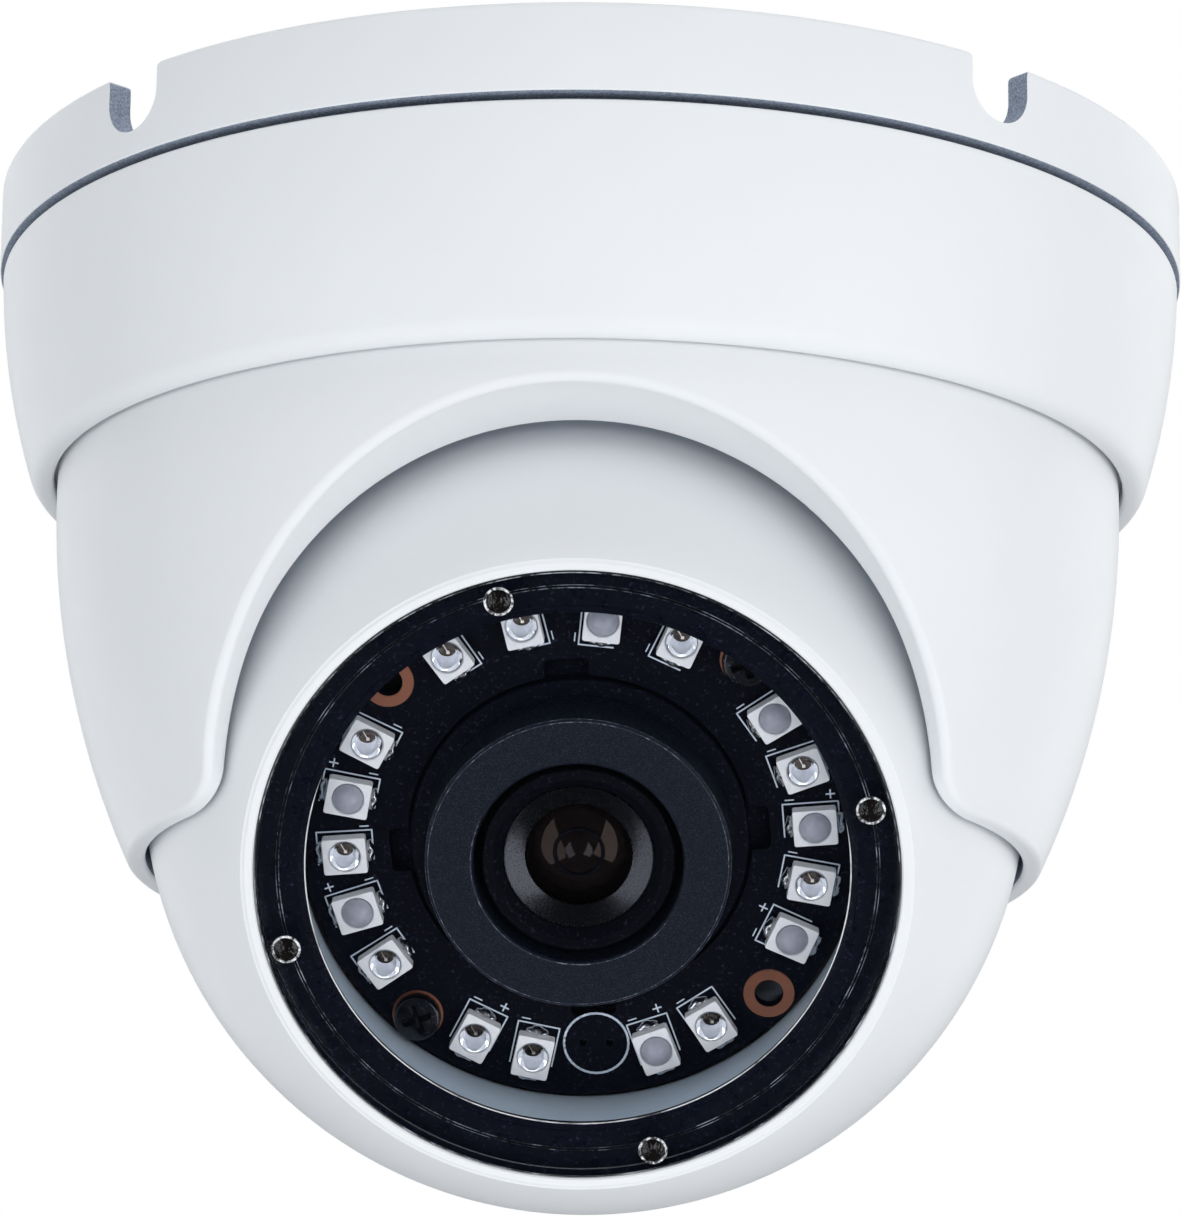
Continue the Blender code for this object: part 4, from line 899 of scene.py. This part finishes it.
def lens():
    top = SHROUD_H
    shroud = [(11.4, top, 0.22), (11.5, 15.4, 0.2), (8.5, 15.3, 0.1)]
    shroud += [(8.5, 13.4, 0.1), (7.9, 13.4, 0.1), (7.8, top, 0.30)]
    on_ball("lens_shroud_fine", rounded(shroud, 6), SHROUD_RUBBER, "shroud_rubber", "lens_shroud")
    # painted highlights on the shroud's rims; the mouth's line runs over half its round
    painted_highlight_line("lens_shroud_rim_highlight", 11.18, top - 0.04, 0.05, (0, 360), SHROUD_RIM_HIGHLIGHT, "shroud_rubber")
    painted_highlight_line("lens_shroud_outer_highlight", 11.36, top - 0.16, 0.05, (0, 360), SHROUD_RIM_HIGHLIGHT, "shroud_rubber")
    painted_highlight_line("lens_shroud_mouth_highlight", 8.02, top - 0.04, 0.045, (150, 330), SHROUD_RIM_HIGHLIGHT, "shroud_rubber")
    skirt = [(12.7, 15.2, 0.2), (12.7, 13.7, 0), (14.4, 13.7, 0.05)]
    skirt += [(14.4, 13.4, 0.05), (8.6, 13.4, 0.1), (8.6, 15.2, 0.1)]
    on_ball("lens_shroud_skirt", rounded(skirt), BLACK_BOARD, "shroud_rubber")
    barrel = [(7.2, LENS_H, 0.2), (7.2, 13.5, 0.2), (6.0, 13.0, 0.1), (6.0, 5.6, 0.2), (4.6, 5.6, 0.1)]
    barrel += [(4.6, 12.6, 0), (5.65, 14.4, 0), (5.65, 18.9, 0.1), (6.4, LENS_H, 0.15)]
    cone = rounded([(5.6, 19.0, 0.08), (5.6, 17.3, 0.05), (4.0, 17.3, 0), (4.0, 18.3, 0.08)])
    glass = arc((0, 11.4), 6.6, 90, 55, 16) + [(5.2, 16.6), (5.2, 16.1), (0, 16.1)]
    pupil = arc((0, 16.1), 2.1, 90, 36, 12) + [(1.72, 17.0), (0, 17.0)]
    stop = rounded([(1.95, 17.95, 0.06), (1.95, 17.2, 0), (1.72, 17.2, 0), (1.72, 17.95, 0.06)], 4)
    cell = rounded([(5.5, 15.9, 0.1), (5.5, 14.2, 0), (1.7, 14.2, 0.05), (2.0, 14.8, 0.1), (4.6, 15.9, 0.1)])
    second = arc((0, 9.6), 5.0, 90, 68, 8) + [(2.2, 13.6), (0, 13.6)]
    for name, outline, look, steps, slot, *nodes in (
        ("lens_barrel_fine", rounded(barrel), BLACK_BARREL, LENS_STEPS, "black_metal", "lens_barrel"),
        ("lens_cone", cone, CONE_METAL, LENS_STEPS, "grey_metal", "lens_front_ring"),
        ("lens_front_glass", glass, FRONT_GLASS, LENS_STEPS, "lens_glass", "front_lens"),
        ("lens_pupil", pupil, PUPIL, SMALL_STEPS, "lens_glass"),
        ("lens_stop_ring", stop, BLACK_BARREL, SMALL_STEPS, "black_metal"),
        ("lens_cell", cell, BLACK_BARREL, SMALL_STEPS, "black_metal"),
        ("lens_second_glass", second, LENS_GLASS, SMALL_STEPS, "lens_glass"),
    ):
        on_ball(name, outline, look, slot, *nodes, steps=steps)


def on_board(at, height, turn_deg):
    """A place on the board, in millimetres from the lens axis, turned about its own upright."""
    shift = Matrix.Translation((at[0] * MM, at[1] * MM, height * MM))
    return LENS @ shift @ spin(turn_deg)


def board():
    outline = [(BOARD_R, BOARD_H - 0.05), (BOARD_R - 0.05, BOARD_H), (BOARD_HOLE_R, BOARD_H)]
    outline += [(BOARD_HOLE_R, BOARD_H - 1.0), (BOARD_R, BOARD_H - 1.0)]
    plate = turned("led_board", outline, BLACK_BOARD, LENS)
    cuts = []
    for index in range(4):
        angle = 90 * index + BOARD_ROLL
        turn = LENS @ spin(angle)
        inner, outer = BOARD_HOLE_R - 1.5, BOARD_HOLE_R + 0.9
        outline = arc((outer, 1.3), 0.4, 0, 90, 5) + [(inner, 1.7), (inner, -1.7)]
        outline += arc((outer, -1.3), 0.4, 270, 360, 5)
        cuts.append(prism(f"board_notch_{index}", outline, 13.0, 16.0, None, turn))
        hole = [(0, 16.0), (1.07, 16.0), (1.07, 13.0), (0, 13.0)]
        cuts.append(turned(f"board_hole_{index}", hole, None, LENS, 48, polar(PAD_R, angle + 45)))
    for offset in (-1.0, 1.0):
        x, y = polar(*UNFITTED_AT)
        hole = [(0, 16.0), (0.28, 16.0), (0.28, 13.0), (0, 13.0)]
        cuts.append(turned(f"sensor_hole_{offset}", hole, None, LENS, 24, (x + offset, y)))
    combine(plate, cuts)
    stands_for(plate, "ball", "black_board", "ir_board")
    for index in range(4):
        at = polar(PAD_R, 90 * index + 45 + BOARD_ROLL)
        ring = [(1.95, BOARD_H), (1.92, BOARD_H + 0.05), (1.11, BOARD_H + 0.05), (1.08, BOARD_H)]
        pad = turned(f"copper_pad_{index + 1}", ring, COPPER, LENS, 64, at)
        stands_for(pad, "ball", "black_board")


def board_screws():
    """Two black pan-head screws with a cross recess."""
    for index, angle in enumerate((45 + BOARD_ROLL, 225 + BOARD_ROLL)):
        at = polar(PAD_R, angle)
        head = [(0, 16.3, 0), (1.75, 16.15, 0.25), (1.8, 15.12, 0.05)]
        shank = [(0.7, 15.12, 0), (0.7, 13.4, 0), (0, 13.0, 0)]
        screw = turned(f"board_screw_head_{index + 1}", rounded(head + shank), BLACK_SCREW, LENS, 64, at)
        cuts = []
        for arm in range(2):
            turn = on_board(at, 0, 20 + 90 * arm)
            slot = [(-1.15, -0.27), (1.15, -0.27), (1.15, 0.27), (-1.15, 0.27)]
            cuts.append(prism(f"cross_{arm}", slot, 15.55, 17.0, None, turn))
        combine(screw, cuts)
        stands_for(screw, "ball", "black_metal", f"board_screw_{index + 1}")


def led_places():
    """(angle on the board, node name) of each LED, as the CAD has them, in the order of their angles."""
    into_lens = LENS.inverted()
    places = []
    for name in sorted(node for node in frame["nodes"] if node.startswith("ir_led_")):
        low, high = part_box(name)
        spot = into_lens @ ((low + high) / 2)
        places.append((math.degrees(math.atan2(spot.y, spot.x)) % 360, name))
    return sorted(places)


def box_edge(angle, half_x, half_y, corner):
    """The point of a rounded rectangle's edge in a direction."""
    x, y = math.cos(angle), math.sin(angle)
    reach = min(half_x / max(abs(x), 1e-9), half_y / max(abs(y), 1e-9))
    x, y = x * reach, y * reach
    inner_x, inner_y = half_x - corner, half_y - corner
    if abs(x) > inner_x and abs(y) > inner_y:
        dx, dy = abs(x) - inner_x, abs(y) - inner_y
        shrink = corner / max(math.hypot(dx, dy), corner)
        x, y = math.copysign(inner_x + dx * shrink, x), math.copysign(inner_y + dy * shrink, y)
    return x, y


def led_body_mesh():
    """The white package with its round cup, from the foot up and down into the cup."""
    angles = np.linspace(0, 2 * math.pi, LED_STEPS, endpoint=False)
    rows = []
    for inset, height in ((0.09, 0), (0, 0.15), (0, LED_TOP - 0.04), (0.03, LED_TOP)):
        edge = [box_edge(a, LED_HALF[0] - inset, LED_HALF[1] - inset, 0.16) for a in angles]
        rows.append([(x, y, height) for x, y in edge])
    for radius, height in ((1.28, LED_TOP), (1.25, 1.17), (1.22, 1.10), (0.66, 0.60), (0.0, 0.60)):
        rows.append([(radius * math.cos(a), radius * math.sin(a), height) for a in angles])
    rows.append([(0.0, 0.0, 0.0)] * len(angles))
    made = surface("led_package", np.array(rows), LED_BODY, wrap_rows=True, sharp_deg=30.0)
    mesh = made.data
    mesh.materials.append(LED_CUP)
    mesh.materials.append(SOLDER)
    for face in mesh.polygons:
        centre = face.center / MM
        if math.hypot(centre.x, centre.y) < 1.23 and 0.3 < centre.z < 1.12:
            face.material_index = 1
    shape = bmesh.new()
    shape.from_mesh(mesh)
    for side in (-1, 1):
        blob = bmesh.ops.create_uvsphere(shape, u_segments=16, v_segments=10, radius=1.0)["verts"]
        for vert in blob:
            wave = 1 + 0.16 * math.sin(5 * vert.co.y + side) * math.cos(4 * vert.co.x)
            vert.co = Vector((vert.co.x * 0.38, vert.co.y * 0.95, max(vert.co.z, -0.15) * 0.62)) * wave * MM
        bmesh.ops.translate(shape, verts=blob, vec=(side * 1.86 * MM, 0, 0.08 * MM))
        for face in {face for vert in blob for face in vert.link_faces}:
            face.material_index = 2
            face.smooth = True
    shape.to_mesh(mesh)
    shape.free()
    bpy.data.objects.remove(made, do_unlink=True)
    return mesh


def led_shade_pad_chip_mesh():
    """A dark pad off the cup's middle, painted shade that always lies towards the lens frame's up, with the
    chip on it and a fine bond wire across to the rim.
    """
    shape = bmesh.new()
    pad = bmesh.ops.create_uvsphere(shape, u_segments=20, v_segments=8, radius=1.0)["verts"]
    for vert in pad:
        vert.co = Vector((vert.co.x * 0.46, vert.co.y * 0.36 + 0.30, vert.co.z * 0.07 + 0.64)) * MM
    chip = bar(shape, (0.17, 0.17, 0.12), (0.05, 0.22, 0.74), 0.0)
    bond = bar(shape, (0.05, 0.62, 0.05), (-0.10, 0.48, 0.78), 0.5)
    for face in {face for vert in chip + bond for face in vert.link_faces}:
        face.material_index = 1
    mesh = take_mesh(shape, "led_core")
    mesh.materials.append(LED_SHADE_PAD)
    mesh.materials.append(LED_BOND)
    return mesh


def leds():
    body_mesh = led_body_mesh()
    shade_pad_chip_mesh = led_shade_pad_chip_mesh()
    dome = [(0, 1.86)] + arc((0, 0.62), 1.24, 80, 27, 12) + [(1.14, 1.1), (0.6, 0.64), (0, 0.64)]
    clear = turned("led_dome", dome, LED_CLEAR, steps=48)
    dome_meshes = [clear.data, clear.data.copy()]
    dome_meshes[1].materials[0] = LED_MILKY
    bpy.data.objects.remove(clear, do_unlink=True)
    for index, (angle, name) in enumerate(led_places()):
        at = polar(LED_R, angle)
        # each package is soldered up to 2 degrees out of true; the dark pads of painted shade all lie the
        # same way
        place = on_board(at, BOARD_H + 0.05, angle + 2.0 * math.sin(index * 2.4))
        body = add_object(f"{name}_package", body_mesh)
        top = add_object(f"{name}_dome", dome_meshes[index in MILKY_LEDS])
        body.matrix_world = top.matrix_world = place
        if index not in MILKY_LEDS:
            # painted shade: a dark pad set towards the lens frame's up, with the chip and bond wire
            shade_pad_chip = add_object(f"{name}_core", shade_pad_chip_mesh)
            shade_pad_chip.matrix_world = on_board(at, BOARD_H + 0.05, 0)
            stands_for(shade_pad_chip, "ball", "led_white")
        stands_for(body, "ball", "led_white", name)
        stands_for(top, "ball", "led_white")


def silkscreen():
    """White marking on the board: a bracket round each LED, polarity marks, and an unfitted part's ring."""
    shape = bmesh.new()

    def line(place, start, end, width=0.11):
        run = Vector(end) - Vector(start)
        middle = (*((Vector(start) + Vector(end)) / 2), 0)
        bar(shape, (run.length + width, width, 0.03), middle, math.atan2(run.y, run.x), place)

    ink_h = BOARD_H + 0.02
    for index, (angle, _) in enumerate(led_places()):
        below = 200 < angle < 340
        left = 100 < angle < 230
        # the bracket is open on the side that faces down; x runs to the right and y away from the open side
        turn = angle + 90 if below and not left else angle - 180 if left else angle
        place = on_board(polar(LED_R, angle), ink_h, turn)
        if not below and not left:
            place = place @ Matrix.Translation((-0.25 * MM, 0, 0))
        half, top, leg = (1.6, 2.3, -1.1) if below and not left else (2.1, 1.62, -0.95)
        line(place, (-half, top), (half, top))
        line(place, (-half, top), (-half, leg))
        line(place, (half, top), (half, leg + 0.25))
        plus_x = -half + 0.55 if left else half - 0.55
        if index % 2 == 0:
            line(place, (plus_x - 0.3, top + 0.6), (plus_x + 0.3, top + 0.6))
            line(place, (plus_x, top + 0.3), (plus_x, top + 0.9))
        line(place, (-plus_x - 0.3, top + 0.32), (-plus_x + 0.3, top + 0.32), 0.09)
    ring = on_board(polar(*UNFITTED_AT), ink_h, 0)
    corners = [polar(2.45, 10 * step) for step in range(37)]
    for start, end in zip(corners, corners[1:]):
        line(ring, start, end, 0.17)
    marking = finish_mesh("board_marking", take_mesh(shape, "board_marking"), SILKSCREEN)
    stands_for(marking, "ball", "black_board")


# CAD nodes that stay


def carried_nodes():
    looks = {
        "ball_clamp": STEEL,
        "ball_seal": BLACK_RUBBER,
        "rear_lens": LENS_GLASS,
        "lens_holder": BLACK_PLASTIC,
        "ir_cut_filter": LENS_GLASS,
        "image_sensor": SENSOR,
        "sensor_board": GREEN_BOARD,
        "main_board": GREEN_BOARD,
        "chassis_plate": ALUMINIUM,
        "board_standoff": BRASS,
        "front_standoff": BRASS,
        "chassis_screw": SCREW_STEEL,
        "clamp_screw": SCREW_STEEL,
    }
    for name, node in frame["nodes"].items():
        look = looks.get(name, looks.get(name.rsplit("_", 1)[0]))
        if look is None or node.hide_render:
            continue
        node.data.materials.clear()
        node.data.materials.append(look)


# Stage


def area_light(name, place, size, power, colour):
    data = bpy.data.lights.new(name, "AREA")
    data.shape = "RECTANGLE"
    data.size, data.size_y = size
    data.energy = power
    data.color = colour
    made = add_object(name, data)
    made.location = place
    target = Vector((0, 0, BALL_CENTRE.z))
    made.rotation_euler = (target - Vector(place)).to_track_quat("-Z", "Y").to_euler()
    if name in UNSEEN_LIGHTS:
        made.visible_glossy = False
        made.visible_camera = False


def floor():
    shape = bmesh.new()
    bmesh.ops.create_grid(shape, x_segments=2, y_segments=2, size=FLOOR_HALF)
    look = Look("floor_card", (0.86, 0.87, 0.88), 0.8)
    look.vary("Roughness", 30.0, 0.75, 0.85)
    look.set("Emission Color", (0.94, 0.97, 1.0, 1.0))
    look.set("Emission Strength", 0.55)
    made = finish_mesh("floor", take_mesh(shape, "floor"), look.material)
    made.location = (0, 0, FLOOR_Z)
    made.visible_glossy = False
    made.visible_diffuse = False


def backdrop():
    """White to the eye, a soft fill on the object, and nearly nothing in its reflections."""
    world = bpy.data.worlds.new("studio_white")
    bpy.context.scene.world = world
    world.use_nodes = True
    nodes, links = world.node_tree.nodes, world.node_tree.links
    background = nodes["Background"]
    path = nodes.new("ShaderNodeLightPath")
    fill = nodes.new("ShaderNodeMapRange")
    fill.inputs["To Min"].default_value = WORLD_FILL
    fill.inputs["To Max"].default_value = WORLD_IN_GLOSS
    links.new(path.outputs["Is Glossy Ray"], fill.inputs["Value"])
    level = nodes.new("ShaderNodeMix")
    level.inputs["B"].default_value = 1.0
    links.new(fill.outputs["Result"], level.inputs["A"])
    tint = nodes.new("ShaderNodeMix")
    tint.data_type = "RGBA"
    tint.inputs["A"].default_value = SHADE_TINT
    tint.inputs["B"].default_value = (1.0, 1.0, 1.0, 1.0)
    for mix, socket in ((level, "Strength"), (tint, "Color")):
        links.new(path.outputs["Is Camera Ray"], mix.inputs["Factor"])
        links.new(mix.outputs["Result"], background.inputs[socket])
    bpy.context.scene.view_settings.view_transform = "Standard"


def camera():
    """Below and in front of the object, looking up at it, with a long lens."""
    azimuth, pitch, roll = (math.radians(angle) for angle in (CAMERA_AZIMUTH, CAMERA_PITCH, CAMERA_ROLL))
    flat = math.cos(pitch)
    forward = Vector((-math.sin(azimuth) * flat, math.cos(azimuth) * flat, math.sin(pitch)))
    level = Vector((math.cos(azimuth), math.sin(azimuth), 0))
    above = level.cross(forward)
    right = level * math.cos(roll) + above * math.sin(roll)
    up = above * math.cos(roll) - level * math.sin(roll)
    data = bpy.data.cameras.new("camera")
    data.lens = CAMERA_LENS_MM
    data.shift_x = CAMERA_SHIFT
    data.clip_start = 0.01
    made = add_object("camera", data)
    turn = Matrix((right, up, -forward)).transposed().to_4x4()
    made.matrix_world = Matrix.Translation(CAMERA_PLACE) @ turn
    bpy.context.scene.camera = made


mounting_base()
base_rubber()
cover()
hood()
ball()
window()
lens()
board()
board_screws()
leds()
silkscreen()
carried_nodes()
floor()
for light in LIGHTS:
    area_light(*light)
backdrop()
camera()
